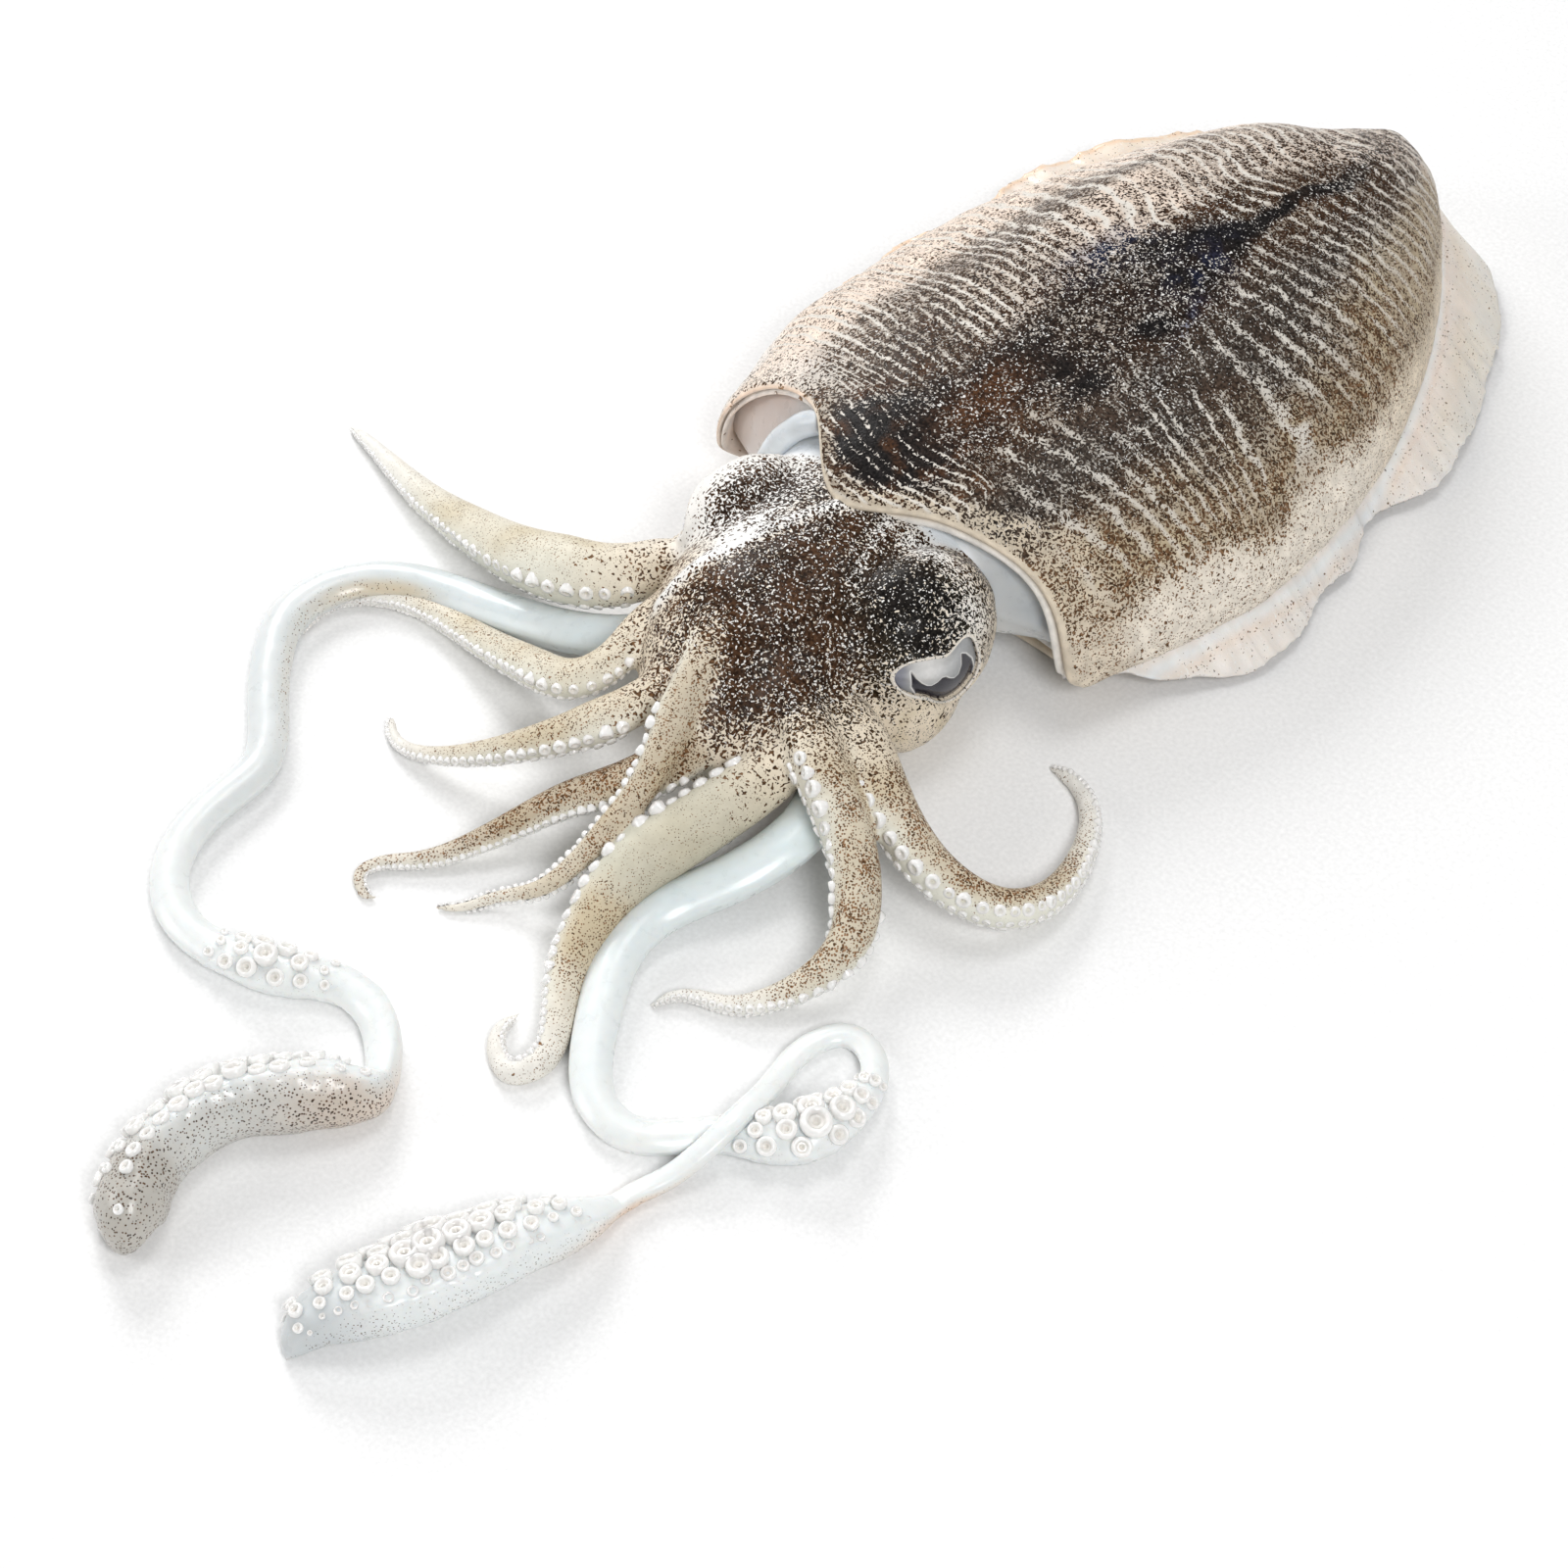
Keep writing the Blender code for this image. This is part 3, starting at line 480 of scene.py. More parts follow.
def tentacle_limb(spec, spacing=0.55):
    length = even_route(spec.route, 8)[1][-1]
    route, arc = even_route(spec.route, int(length / spacing))
    root, end = spec.stalk
    half = root + (end - root) * smooth(arc / (0.62 * length))
    middle, reach, wide = spec.patch
    half += np.maximum(wide - half, 0.0) * fall(np.abs(arc - middle), 0.0, reach)
    middle, reach, wide = spec.club
    off = (arc - middle) / reach
    late, narrow = spec.ends
    swell = np.where(off < 0.0, 1.0 - np.abs(off) ** late, 1.0 - narrow * off ** 2)
    half += (wide - half) * np.clip(swell, 0.0, 1.0) * (np.abs(off) < 1.0)
    to_tip = np.clip(1.0 - (length - arc) / spec.blunt, 0.0, 1.0)
    half *= np.sqrt(np.clip(1.0 - to_tip ** 2.2, 0.004, 1.0))
    flat = 1.0 - 0.25 * fall(np.abs(arc - middle), 0.0, reach)
    line = resting_line(route, arc, LYING * half * flat, spec.root_z, spec.drop)
    if spec.hump:
        middle, height, reach = spec.hump
        line[:, 2] += height * fall(np.abs(arc - middle), 0.0, reach)
    turns = np.array(spec.turn, float)
    oral, across = frames(line, np.interp(arc, turns[:, 0], turns[:, 1]))
    return Limb(line, oral, across, half, half * flat, arc)


def limb_at(limb, place):
    """A limb's centre, sucker side, crosswise direction, half width and half height at an arc length."""
    line, oral, across = [np.array([np.interp(place, limb.arc, column) for column in part.T])
                          for part in (limb.line, limb.oral, limb.across)]
    return line, oral, across, np.interp(place, limb.arc, limb.wide), np.interp(place, limb.arc, limb.tall)


def limb_grid(limb, sides, edge=0.0):
    """Rings round a limb, flattened on the sucker side, and each point's angle round it.

    edge draws the two borders of the sucker side out into thin ridges, as a share of the width.
    """
    t = turn_round(sides)
    side, out = np.cos(t), np.sin(t) * np.where(np.sin(t) > 0, 0.8, 1.0)
    fade = edge * rise(limb.arc[-1] - limb.arc, 4.0, 14.0)
    side = side * (1.0 + fade[:, None] * hill(np.sin(t), 0.3, 0.3))
    rings = (limb.line[:, None] + limb.across[:, None] * (limb.wide[:, None] * side)[..., None]
             + limb.oral[:, None] * (limb.tall[:, None] * out)[..., None])
    return rings, np.broadcast_to(t, rings.shape[:2])


def capped(mesh, rings, **fields):
    """Adds a closed tube to the mesh: its rings, and a point in the middle of each end."""
    rows, columns = rings.shape[:2]
    ends = np.array([rings[0].mean(axis=0), rings[-1].mean(axis=0)])
    points = np.concatenate([rings.reshape(-1, 3), ends])
    fans = []
    for row, pole, flip in ((0, rows * columns, True), (rows - 1, rows * columns + 1, False)):
        for j in range(columns):
            a, b = row * columns + j, row * columns + (j + 1) % columns
            fans.append((b, a, pole) if flip else (a, b, pole))
    for name, values in fields.items():
        flat = np.asarray(values, float).reshape(rows, columns, -1)
        tips = [flat[0].mean(axis=0), flat[-1].mean(axis=0)]
        fields[name] = np.concatenate([flat.reshape(rows * columns, -1), tips])
    mesh.add(points, grid_faces(rows, columns).tolist() + fans, **fields)


def cups(mesh, places, facings, radii, segments, profile):
    """Adds a small cup with a round rim and a hollow middle at each place above the ground."""
    places, facings, radii = np.asarray(places), unit(np.asarray(facings)), np.asarray(radii)
    clear = places[:, 2] > 0.9 * radii
    places, facings, radii = places[clear], facings[clear], radii[clear]
    t = turn_round(segments)
    profile = np.array(profile)
    cup = [np.stack([r * np.cos(t), r * np.sin(t), np.full(segments, z)], axis=-1) for r, z in profile]
    cup = np.concatenate(cup + [np.array([[0.0, 0.0, -0.1]])])
    side = unit(np.cross(facings, (0.31, 0.9, 0.23)))
    axes = np.stack([side, np.cross(facings, side), facings], axis=1)
    points = places[:, None] + radii[:, None, None] * (cup @ axes)
    rows = len(profile)
    last, pole = (rows - 1) * segments, rows * segments
    faces = grid_faces(rows, segments).tolist()
    faces += [(last + j, last + (j + 1) % segments, pole) for j in range(segments)]
    points[..., 2] = np.maximum(points[..., 2], ABOVE_GROUND)
    inner = smooth((0.62 - profile[:, 0]) / 0.2) * (profile[:, 1] > -0.2)
    inner = np.append(np.repeat(inner, segments), 1.0)
    tint = paint(plain_colour("white", cup), ("sand", 0.2 * inner))
    for item in points:
        mesh.add(item, faces, tint=tint)


def mantle_half_width(share):
    rear = np.clip((share - WIDEST_AT) / (1.0 - WIDEST_AT), 0.0, 1.0)
    front = np.clip((WIDEST_AT - share) / WIDEST_AT, 0.0, 1.2)
    return MANTLE_HALF_WIDTH * (1.0 - rear ** 1.9) ** 0.75 * (1.0 - 0.29 * front ** 1.5)


def mantle_levels(share):
    """Heights of the back, the widest line and the belly."""
    edge = EDGE_Z + (TAIL_Z - EDGE_Z) * rise(share, 0.7, 0.3)
    rear = np.clip((share - 0.4) / 0.6, 0.0, 1.0)
    front = np.clip((0.4 - share) / 0.4, 0.0, 1.2)
    back = edge + (MANTLE_TOP - EDGE_Z) * (1.0 - rear ** 2.2) ** 0.6 * (1.0 - 0.2 * front ** 2)
    belly = BELLY_Z + (edge - BELLY_Z) * np.clip((share - 0.8) / 0.2, 0.0, 1.0) ** 2.5
    return back, edge, belly


def front_margin(angle):
    """How far behind the tip of the dorsal tongue the front margin lies, at an angle round the body."""
    return curve(MARGIN, degrees_from(-90.0, angle))


def lip_scale(angle):
    """How thick the margin's lip is: thinner round the lobe on the far side."""
    turned = degrees_from(-90.0, angle)
    return 1.0 - 0.55 * rise(turned, 99.0, 12.0) * fall(turned, 188.0, 15.0)


def mantle_surface(y, angle, inset=0.0):
    share = (y - FRONT_Y) / MANTLE_LENGTH
    back, edge, belly = mantle_levels(share)
    c, s = np.cos(angle), np.sin(angle)
    power = np.where(s > 0, 0.97, 0.85)
    x = np.maximum(mantle_half_width(share) - inset, 0.0) * np.sign(c) * np.abs(c) ** power
    height = np.maximum(np.where(s > 0, back, 2.0 * edge - belly) - edge - inset, 0.0)
    z = edge + height * np.sign(s) * np.abs(s) ** power
    return np.stack([MID_X + x, y, z], axis=-1)


def stripes(points):
    """The count of pale wavy lines across the back, from the front to each point."""
    x, y = points[..., 0], points[..., 1]
    near, far = np.maximum(x + 6.0, 0.0), np.maximum(-25.0 - x, 0.0)
    rear, front, tongue = rise(y, 112.0, 40.0), fall(y, 85.0, 20.0), fall(y, 58.0, 10.0)
    along = y - 100.0 + 1.2 * wander(points, 22.0, 3.1) + 0.5 * wander(points, 9.0, 7.7)
    climb_far = 0.12 * far + 3.5 * rear * smooth(far / 11.0) + 0.006 * (x + 20.0) ** 2 * tongue
    side = rise(x, 24.0 * tongue - 25.0, 16.0)
    return ((along - curve(STRIPE_SLOPE, y) * near) / (4.7 + 1.6 * front) * side
            + (along - climb_far) / (3.1 + 1.3 * rear - 0.5 * tongue) * (1.0 - side))


def mantle_skin(points, behind):
    """Colours and cover of the mantle's skin. behind is the distance from the front margin."""
    x, y, z = np.moveaxis(points, -1, 0)
    share = np.clip((y - FRONT_Y) / MANTLE_LENGTH, 0.0, 0.995)
    out = (x - MID_X) / (mantle_half_width(share) + 0.5)
    coarse, middle, fine = wander(points, 22.0, 1.3), wander(points, 9.0, 5.9), wander(points, 3.5, 9.1)
    drift = 0.10 * coarse + 0.06 * middle
    front, rear, upper = fall(y, 60.0, 50.0), rise(y, 130.0, 35.0), rise(z, 16.0, 10.0)
    rim = fall(behind, 2.5 + 3.0 * middle + 7.0 * rise(x, 2.0, 14.0), 5.0)
    rim *= 0.25 + 0.75 * rise(x, MID_X - 4.0, 10.0)
    beige = rise(out + drift, 0.56 - 0.08 * front - 0.10 * rear, 0.30)
    cream = rise(out + 0.6 * drift, 0.87, 0.12)
    # The far side is partly paler skin and partly a painted highlight where the light behind it washes the skin out:
    # pale and edge whiten it and thin the pigment.
    outward = 1.1 * drift - out
    pale = 0.28 * rise(outward, 0.30 - 0.12 * rear, 0.2) + 0.72 * rise(outward, 0.53 - 0.04 * rear, 0.16)
    edge = np.maximum(rise(0.6 * drift - out, 0.84, 0.10), glows(points, PALE_FRONT))
    net = fall(x, 0.35 * np.maximum(y - 165.0, 0.0) - 28.0, 7.0) * rise(x, -47.0, 6.0) * (1.0 + 0.4 * middle)
    net *= rise(y, 74.0, 25.0) * (0.45 + 0.55 * rise(y, 105.0, 35.0)) * (1.0 - 0.35 * rise(y, 148.0, 12.0))

    band = np.array(DARK_BAND, float)
    left, right, depth = [np.interp(y, band[:, 0], band[:, column]) for column in (1, 2, 3)]
    across = x + 2.4 * middle + fine
    soft = np.clip((right - left) * 0.3, 1.2, 7.0)
    dark = depth * rise(across, left - soft, 2.0 * soft) * fall(across, right - soft, 2.0 * soft)
    drifted = np.stack([x + 2.0 * middle, y + 2.0 * coarse], axis=-1)
    for cx, cy, rx, ry, strength in DARK_SPOTS:
        dark = np.maximum(dark, strength * glow(drifted, (cx, cy), (rx, ry)))
    dark *= upper * (1.0 - 0.8 * fall(behind, 1.0, 4.0))
    tongue = fall(y, 58.0, 10.0) * rise(x, -44.0, 6.0) * fall(x, -2.0, 8.0)
    stripe = (1.0 - smooth(dark * 1.5 - 0.15)) * rise(behind, 3.0, 6.0) * upper
    stripe *= 1.0 - 0.75 * rise(out, 0.80, 0.15) - 0.3 * rise(-out, 0.85, 0.1)
    stripe *= smooth(0.9 + 1.1 * wander(points * (0.3, 0.9, 0.3), 7.0, 11.3))
    stripe *= 1.0 - (0.08 + 0.14 * front - 0.3 * coarse) * rise(x, -16.0, 12.0)
    stripe = np.maximum(stripe, 0.98 * tongue * smooth(0.9 + wander(points, 6.0, 2.9)))

    cover = 0.86 + 0.10 * coarse + 0.12 * middle + 0.05 * front + 0.03 * rise(x, -6.0, 12.0)
    cover = settle(cover, (0.56 + 0.20 * middle, beige), (0.05, cream), (0.26 + 0.26 * middle, pale),
                   (0.13 + 0.35 * smooth(2.5 * middle - 0.3), edge))
    deep = 0.86 + 0.13 * rise(dark, 0.72, 0.2) + 0.06 * middle + 0.05 * tongue
    cover = settle(cover - 0.4 * net, (0.34, 0.85 * rim), (deep, smooth(dark * 1.15 - 0.12)))
    cover -= 0.28 * rise(out, 0.4, 0.25) * rise(y, 160.0, 20.0)
    cover = settle(cover, (0.08, (1.0 - upper) * (0.4 + 0.6 * np.maximum(cream, edge))))
    dots = (0.15 * beige + 0.08 * pale + 0.06 * rim) * (1.0 - 0.6 * cream) * (1.0 + 0.8 * fine) + 0.03 * cream
    fleck = 0.035 + 0.08 * dark + 0.03 * coarse - 0.05 * tongue - 0.1 * rise(dark, 0.8, 0.16)
    fleck *= (1.0 - 0.8 * beige) * (1.0 - 0.9 * cream)

    streak = hill(x + 0.36 * (y - 112.0), 2.0, 1.2) * glow(points[..., 1:], (123.0,), (8.0,))
    violet = streak + glows(points, VIOLET_SPOTS)
    tint = paint(
        plain_colour("taupe", points),
        ("grey", 0.35 + 0.9 * coarse + 0.5 * rise(x, -8.0, 14.0)),
        ("beige", beige),
        ("yellow", 0.25 * np.maximum(beige, 0.8 * rim) * smooth(0.3 + 1.8 * middle)),
        ("cream", np.maximum(cream, 1.0 - upper)),
        # Extra white on the lower near side: partly its pale skin, partly painted light where the lamps reach it
        # weakly.
        ("white", 0.35 * cream * (1.0 - rear)),
        ("pale", np.maximum(pale, 0.75 * net)),
        ("white", 0.6 * edge), ("beige", 0.5 * rim), ("cream", 0.4 * rim),
        ("white", 0.3 * smooth(dark * 1.2 - 0.35)),
        ("violet", violet))
    rust = 0.3 * smooth(1.5 * middle - 0.2) + glows(points, RUST_SPOTS)
    rust += 0.8 * tongue * smooth(2.4 * wander(points, 4.5, 4.7) - 0.1)
    ink = paint(
        plain_colour("brown", points),
        ("bark", 0.8 * beige + 0.5 * cream + 0.8 * pale),
        ("chestnut", 0.7 * cream),
        ("umber", 0.25 * beige + 0.4 * (beige + pale) * smooth(0.3 + 1.5 * fine)),
        ("rust", rust),
        ("dark", smooth(dark * 1.3 - 0.25) * (1.0 - 0.6 * np.clip(rust, 0.0, 1.0))),
        ("slate", 0.7 * rise(x, -6.0, 12.0) * (1.0 - beige) * (1.0 - dark)),
        ("navy", (glows(points, NAVY_SPOTS) + 0.6 * violet) * smooth(0.5 + 2.0 * fine)))
    return tint, ink, cover, np.maximum(fleck, 0.0), stripe, dots


def mantle(material):
    """The shield with its double-lipped front margin and the wall inside it."""
    start, turn, end = np.radians(MANTLE_TURNS)
    top = np.linspace(start, turn, int(MANTLE_COLUMNS * 0.84), endpoint=False)
    angles = np.concatenate([top, np.linspace(turn, end, MANTLE_COLUMNS - len(top), endpoint=False)])
    fronts = FRONT_Y + front_margin(angles)
    tail_y = FRONT_Y + MANTLE_LENGTH
    k = np.linspace(0.004, 1.0, MANTLE_RINGS)
    share = 0.45 * (1.0 - np.cos(0.5 * math.pi * k)) + 0.55 * k
    y = tail_y + (fronts[None] - tail_y) * share[:, None]
    lips = np.array([mantle_surface(fronts + back, angles, inset * lip_scale(angles)) for back, inset in LIP])
    grid = np.concatenate([mantle_surface(y, angles[None]), lips])
    behind = np.concatenate([y - fronts, np.zeros(lips.shape[:2])])
    inside = np.concatenate([np.zeros(y.shape), np.repeat(np.arange(1.0, len(LIP) + 1)[:, None], len(fronts), 1)])

    tint, ink, cover, fleck, stripe, dots = mantle_skin(grid, behind)
    count = stripes(grid)
    x, y, z = np.moveaxis(grid, -1, 0)
    outer = (inside == 0) * rise(z, 4.0, 8.0) * smooth(behind / 3.0) * smooth((tail_y - y) / 6.0)
    flank = rise((MID_X - x) / MANTLE_HALF_WIDTH, 0.3, 0.3) * rise(y, 78.0, 22.0) * fall(y, 150.0, 55.0)
    flank *= rise(z, 14.0, 8.0)
    bumps = 0.55 * wander(grid, 19.0, 2.2) + 0.30 * wander(grid, 7.0, 4.2) + 0.10 * wander(grid, 2.4, 6.2)
    bumps += glows(grid, TAIL_BUMPS) - 3.4 * flank
    lip = hill(behind, 1.5, 2.2) * (inside == 0)
    grid = grid + surface_normals(grid) * (outer * bumps + 0.35 * lip)[..., None]
    grid[..., 2] = np.maximum(grid[..., 2], 0.0)

    lining = smooth(inside / 2.0)
    bead, groove, lip_end = LIP_ROWS
    far = smooth((-38.0 - grid[..., 0]) / 12.0)
    flecks = smooth(wander(grid, 2.2, 8.8) * 3.0 - 0.4) * (inside > groove) * far
    blotches = smooth(wander(grid, 3.0, 3.8) * 3.0 - 0.5) * (inside < groove) * far
    tint = paint(
        tint, ("cream", lining), ("pale", lining * far),
        # The tan line in the groove between the two lips: partly the lining's colour, partly painted shade in the
        # groove.
        ("tan", hill(inside, bead + 1.5, 1.3) * lining * (0.8 - 0.5 * far)),
        ("white", 0.8 * rise(inside, groove, 1.5) + 0.4 * lining * far),
        ("peach", 0.75 * hill(inside, 2.0, 1.6) * far * lining),
        ("bluish", 0.6 * rise(inside, lip_end, 2.0) * (1.0 - far)),
        ("peach", rise(inside, groove, 3.0) * far * (0.45 + 0.5 * wander(grid, 6.0, 4.0))))
    ink = paint(ink, ("chestnut", 0.8 * lining))
    cover, fleck, dots, stripe = [values * (1.0 - lining) for values in (cover, fleck, dots, stripe)]
    cover = cover + 0.3 * flecks + 0.65 * blotches * lining
    fields = {"tint": tint, "ink": ink, "reach": worm_level(cover), "fleck": dot_size(fleck + 0.01 * lining),
              "stripe": stripe, "count": count, "dots": dot_size(dots)}
    mesh = Mesh()
    capped(mesh, grid[::-1], **{name: values[::-1] for name, values in fields.items()})
    return mesh.make("mantle", material)


def fin_points(side):
    """One frill: a thin ruffled flange along the mantle's edge that droops and lies on the ground."""
    shares = np.linspace(FIN_EDGE[0][0], FIN_EDGE[-1][0], FIN_STATIONS)
    along = shares * MANTLE_LENGTH
    rough = np.stack([along, np.full(len(along), 40.0 * side), np.zeros(len(along))], axis=-1)
    reach = curve(FIN_EDGE, shares) + 0.8 * wander(rough, 9.0) - 0.9 * np.abs(wander(rough, 4.5, 2.0)) ** 0.5
    inner = mantle_half_width(shares) - 7.0
    edge = mantle_levels(shares)[1]
    droop = edge - 3.5 - 5.0 * fall(shares, 0.1, 0.2)
    half = np.linspace(0.0, 1.0, FIN_ACROSS)
    across = np.concatenate([half, half[::-1]])[None]
    sign = np.repeat([1.0, -1.0], FIN_ACROSS)
    x = inner[:, None] + (reach - inner)[:, None] * across
    base = np.stack([x * side, np.broadcast_to(along[:, None], x.shape), np.zeros(x.shape)], axis=-1)
    ruffle = 1.7 * wander(base, 11.0, 4.0) + 1.1 * wander(base * (0.3, 1.0, 1.0), 4.0, 6.0)
    thick = 1.15 - 0.85 * smooth(across)
    held = FAR_FIN_LIFT * rise(along, 52.0, 34.0) * fall(along, 158.0, 28.0) * (side < 0)
    level = edge[:, None] - 1.0 - droop[:, None] * across ** 1.3 + ruffle * across ** 1.6 + sign * thick
    level = np.maximum(level + held[:, None] * across ** 1.2, np.where(sign > 0, 1.1, 0.4))
    grid = np.stack([MID_X + side * x, FRONT_Y + along[:, None] + 0 * x, level], axis=-1)
    beyond = x - mantle_half_width(shares)[:, None]
    return (grid, beyond) if side > 0 else (grid[:, ::-1], beyond[:, ::-1])


def fins(material):
    mesh = Mesh()
    for side in (1, -1):
        grid, beyond = fin_points(side)
        far = side < 0
        rear = rise(grid[..., 1], 150.0, 40.0)
        coarse, fine = wander(grid, 12.0, 3.3), wander(grid, 3.0, 1.1)
        lip = hill(beyond.max(axis=1, keepdims=True) - beyond, 0.6, 0.9) * far
        tint = paint(
            plain_colour("pink", grid),
            ("white", 0.6 * rise(beyond, 6.0, 7.0) + 0.3 * coarse),
            ("cream", (0.45 + 0.3 * coarse) * rear * rise(beyond, 2.0, 5.0)),
            ("peach", 0.22 * hill(beyond, 2.4 + 0.7 * coarse, 0.8)),
            ("white", hill(beyond, 0.2, 1.0)),
            ("peach", 0.2 * far + 0.75 * lip))
        cover = (0.035 + 0.03 * coarse + 0.03 * hill(beyond, 2.8, 1.2)) * (1.0 - 0.8 * hill(beyond, 0.0, 0.9))
        capped(mesh, grid, tint=tint, ink=plain_colour("umber", grid), reach=worm_level(np.clip(cover, 0.002, 1.0)),
               fleck=dot_size(np.maximum(0.03 + 0.03 * fine, 0.0)))
    return mesh.make("fins", material)


def collar(material):
    """The white skirt that closes the space between the neck and the mantle's inner wall."""
    angles = turn_round(240)
    profile = np.array([(*step, 0.0) for step in COLLAR] + [(*step, COLLAR_THICK) for step in COLLAR[::-1]])
    fronts = FRONT_Y + front_margin(angles)
    neck = np.stack([-20.5 + 25.0 * np.cos(angles), np.full(len(angles), 41.0), 20.5 + 16.0 * np.sin(angles)], -1)
    wall = mantle_surface(fronts + 9.0 * lip_scale(angles), angles, 4.0 * lip_scale(angles))
    outward, back, thick = profile.T[:, :, None]
    way = wall - neck
    x, z = neck[:, 0] + way[:, 0] * outward, neck[:, 2] + way[:, 2] * outward
    grid = np.stack([x, neck[:, 1] + way[:, 1] * back + thick, z], axis=-1)
    grid[..., 1] -= 2.5 * hill(np.degrees(angles), 8.0, 5.0) * outward
    grid[..., 1] += 0.5 * wander(grid, 8.0, 1.0)
    tint = paint(plain_colour("mist", grid), ("white", 0.25 + 0.5 * wander(grid, 9.0, 2.0)),
                 ("blush", 0.9 * smooth((-44.0 - grid[..., 0]) / 10.0)))
    mesh = Mesh()
    mesh.add(grid, grid_faces(*grid.shape[:2], ring=True), tint=tint, **bare(grid))

    knots = np.array(STRAND, float)
    at = np.linspace(0.0, len(knots) - 1.0, 50)
    line = np.stack([cubic_through(np.arange(len(knots)), column, at) for column in knots.T], axis=1)
    oral, across = frames(line, np.zeros(len(at)))
    half = STRAND_RADIUS + 0.35 * wander(line, 6.0, 1.4)
    rings, _ = limb_grid(Limb(line, oral, across, half, half, at), 28)
    tint = paint(plain_colour("bluish", rings), ("mist", 0.5 + 0.5 * wander(rings, 5.0, 6.0)))
    capped(mesh, rings, tint=tint, **bare(rings))
    return mesh.make("collar", material)


def head_rings():
    table = np.array(HEAD, float)
    ys = np.linspace(table[0, 0], table[-1, 0], 80)
    x, z, wide, tall = [cubic_through(-table[:, 0], column, -ys)[:, None] for column in table.T[1:]]
    a = turn_round(96)
    return np.stack([x + wide * np.cos(a), ys[:, None] + 0.0 * a, z + tall * np.sin(a)], axis=-1)


def ball_rings(centre, size):
    lift, a = np.radians(np.linspace(-88.0, 88.0, 40))[:, None], turn_round(60)
    ball = np.stack([np.cos(lift) * np.cos(a), np.cos(lift) * np.sin(a), np.sin(lift) + 0.0 * a], axis=-1)
    return np.array(centre) + ball * np.array(size)


def fused(mesh, voxel):
    """One closed skin round overlapping closed forms, as points, faces and edges in mm of the design frame."""
    data = bpy.data.meshes.new("fusing")
    data.from_pydata(np.concatenate(mesh.points).tolist(), [], mesh.faces)
    piece = bpy.data.objects.new("fusing", data)
    bpy.context.scene.collection.objects.link(piece)
    remesh = piece.modifiers.new("voxels", "REMESH")
    remesh.mode = "VOXEL"
    remesh.voxel_size = voxel
    remesh.adaptivity = 0.0
    bpy.context.view_layer.update()
    made = bpy.data.meshes.new_from_object(piece.evaluated_get(bpy.context.evaluated_depsgraph_get()))
    points = np.empty(len(made.vertices) * 3)
    made.vertices.foreach_get("co", points)
    faces = [tuple(face.vertices) for face in made.polygons]
    edges = np.empty(len(made.edges) * 2, int)
    made.edges.foreach_get("vertices", edges)
    bpy.data.objects.remove(piece)
    return points.reshape(-1, 3), faces, edges.reshape(-1, 2)


def relax(values, edges, weight, rounds):
    """Moves each value towards its neighbours' mean, by its own weight, a number of times."""
    count = np.bincount(edges.ravel(), minlength=len(values)).astype(float)[:, None]
    for _ in range(rounds):
        total = np.stack([
            np.bincount(edges[:, 0], values[edges[:, 1], k], len(values))
            + np.bincount(edges[:, 1], values[edges[:, 0], k], len(values)) for k in range(values.shape[1])
        ], axis=1)
        values = values + weight[:, None] * (total / count - values)
    return values


def far_ridge(points, width):
    """1 along the ridge between the crown and the far eye bulge, seen from above."""
    return hill(points[:, 0], 0.38 * (points[:, 1] - 30.0) - 22.5, width)


def head_skin(p):
    """Colours and cover of the head's skin at these points."""
    coarse, middle = wander(p, 12.0, 2.7), wander(p, 5.0, 8.3)
    x, y, z = p.T
    high = rise(z, 15.0 - 2.5 * coarse, 16.0)
    brown = smooth(glows(p, CROWN_BROWN) + 0.2 * coarse)
    patch, spots, gleam, cheek = [np.clip(glows(p, part), 0.0, 1.0) for part in (EYE_PATCH, FAR_SPOTS, PAINTED_HIGHLIGHTS, CHEEK)]
    # The far side of the head is painted white: partly pale skin with little pigment, partly a painted highlight of
    # the light behind the far side.
    far = fall(x, -30.0, 6.0) * rise(z, 20.0 + 3.0 * middle, 8.0) * rise(y, 7.0 + 3.0 * coarse, 10.0)
    # A painted highlight along the ridge to the far eye bulge, over the shallow fold that the bumps raise there.
    ridge_highlight = far_ridge(p, 2.2) * rise(z, 24.0, 6.0)
    crease = hill(x, 0.4 * (35.0 - y) - 9.0, 1.5) * rise(z, 34.0, 3.0) * rise(y, 19.0, 5.0)
    cover = (0.18 + 0.27 * high + 0.52 * brown + 0.04 * middle) * (1.0 - 0.97 * far) * (1.0 - 0.7 * ridge_highlight)
    cover *= (1.0 - 0.35 * crease) * (1.0 - 0.65 * cheek)
    # gleam marks the painted highlights: painted white, with few pigment cells and only loose dots.
    cover = settle(cover, (0.97, np.maximum(patch, 0.85 * spots) * rise(z, 22.0, 6.0)), (0.0, 0.6 * gleam))
    dots = 0.12 * cheek + 0.10 * gleam + 0.015 * far
    tint = paint(
        plain_colour("cream", p),
        ("beige", 0.35 * high * (1.0 - brown) + 0.25 * coarse),
        ("yellow", 0.4 * cheek * smooth(2.0 * middle)),
        ("white", 0.85 * far + 0.9 * ridge_highlight + 0.15 * brown + 0.7 * crease + 0.9 * gleam))
    ink = paint(
        plain_colour("brown", p),
        ("umber", (0.4 - 0.3 * brown + 0.4 * middle) * (1.0 - patch)),
        ("rust", 0.34 * brown * smooth(0.6 + middle)),
        ("dark", 0.3 * brown),
        ("olive", 0.6 * patch + 0.5 * rise(x, 4.0, 8.0)),
        ("dark", 0.9 * patch + 0.6 * spots))
    fleck = np.clip(0.14 * brown * (1.0 - patch) + 0.09 * patch + 0.16 * spots - 0.08 * far, 0.0, 1.0)
    return tint, ink, cover, fleck, dots


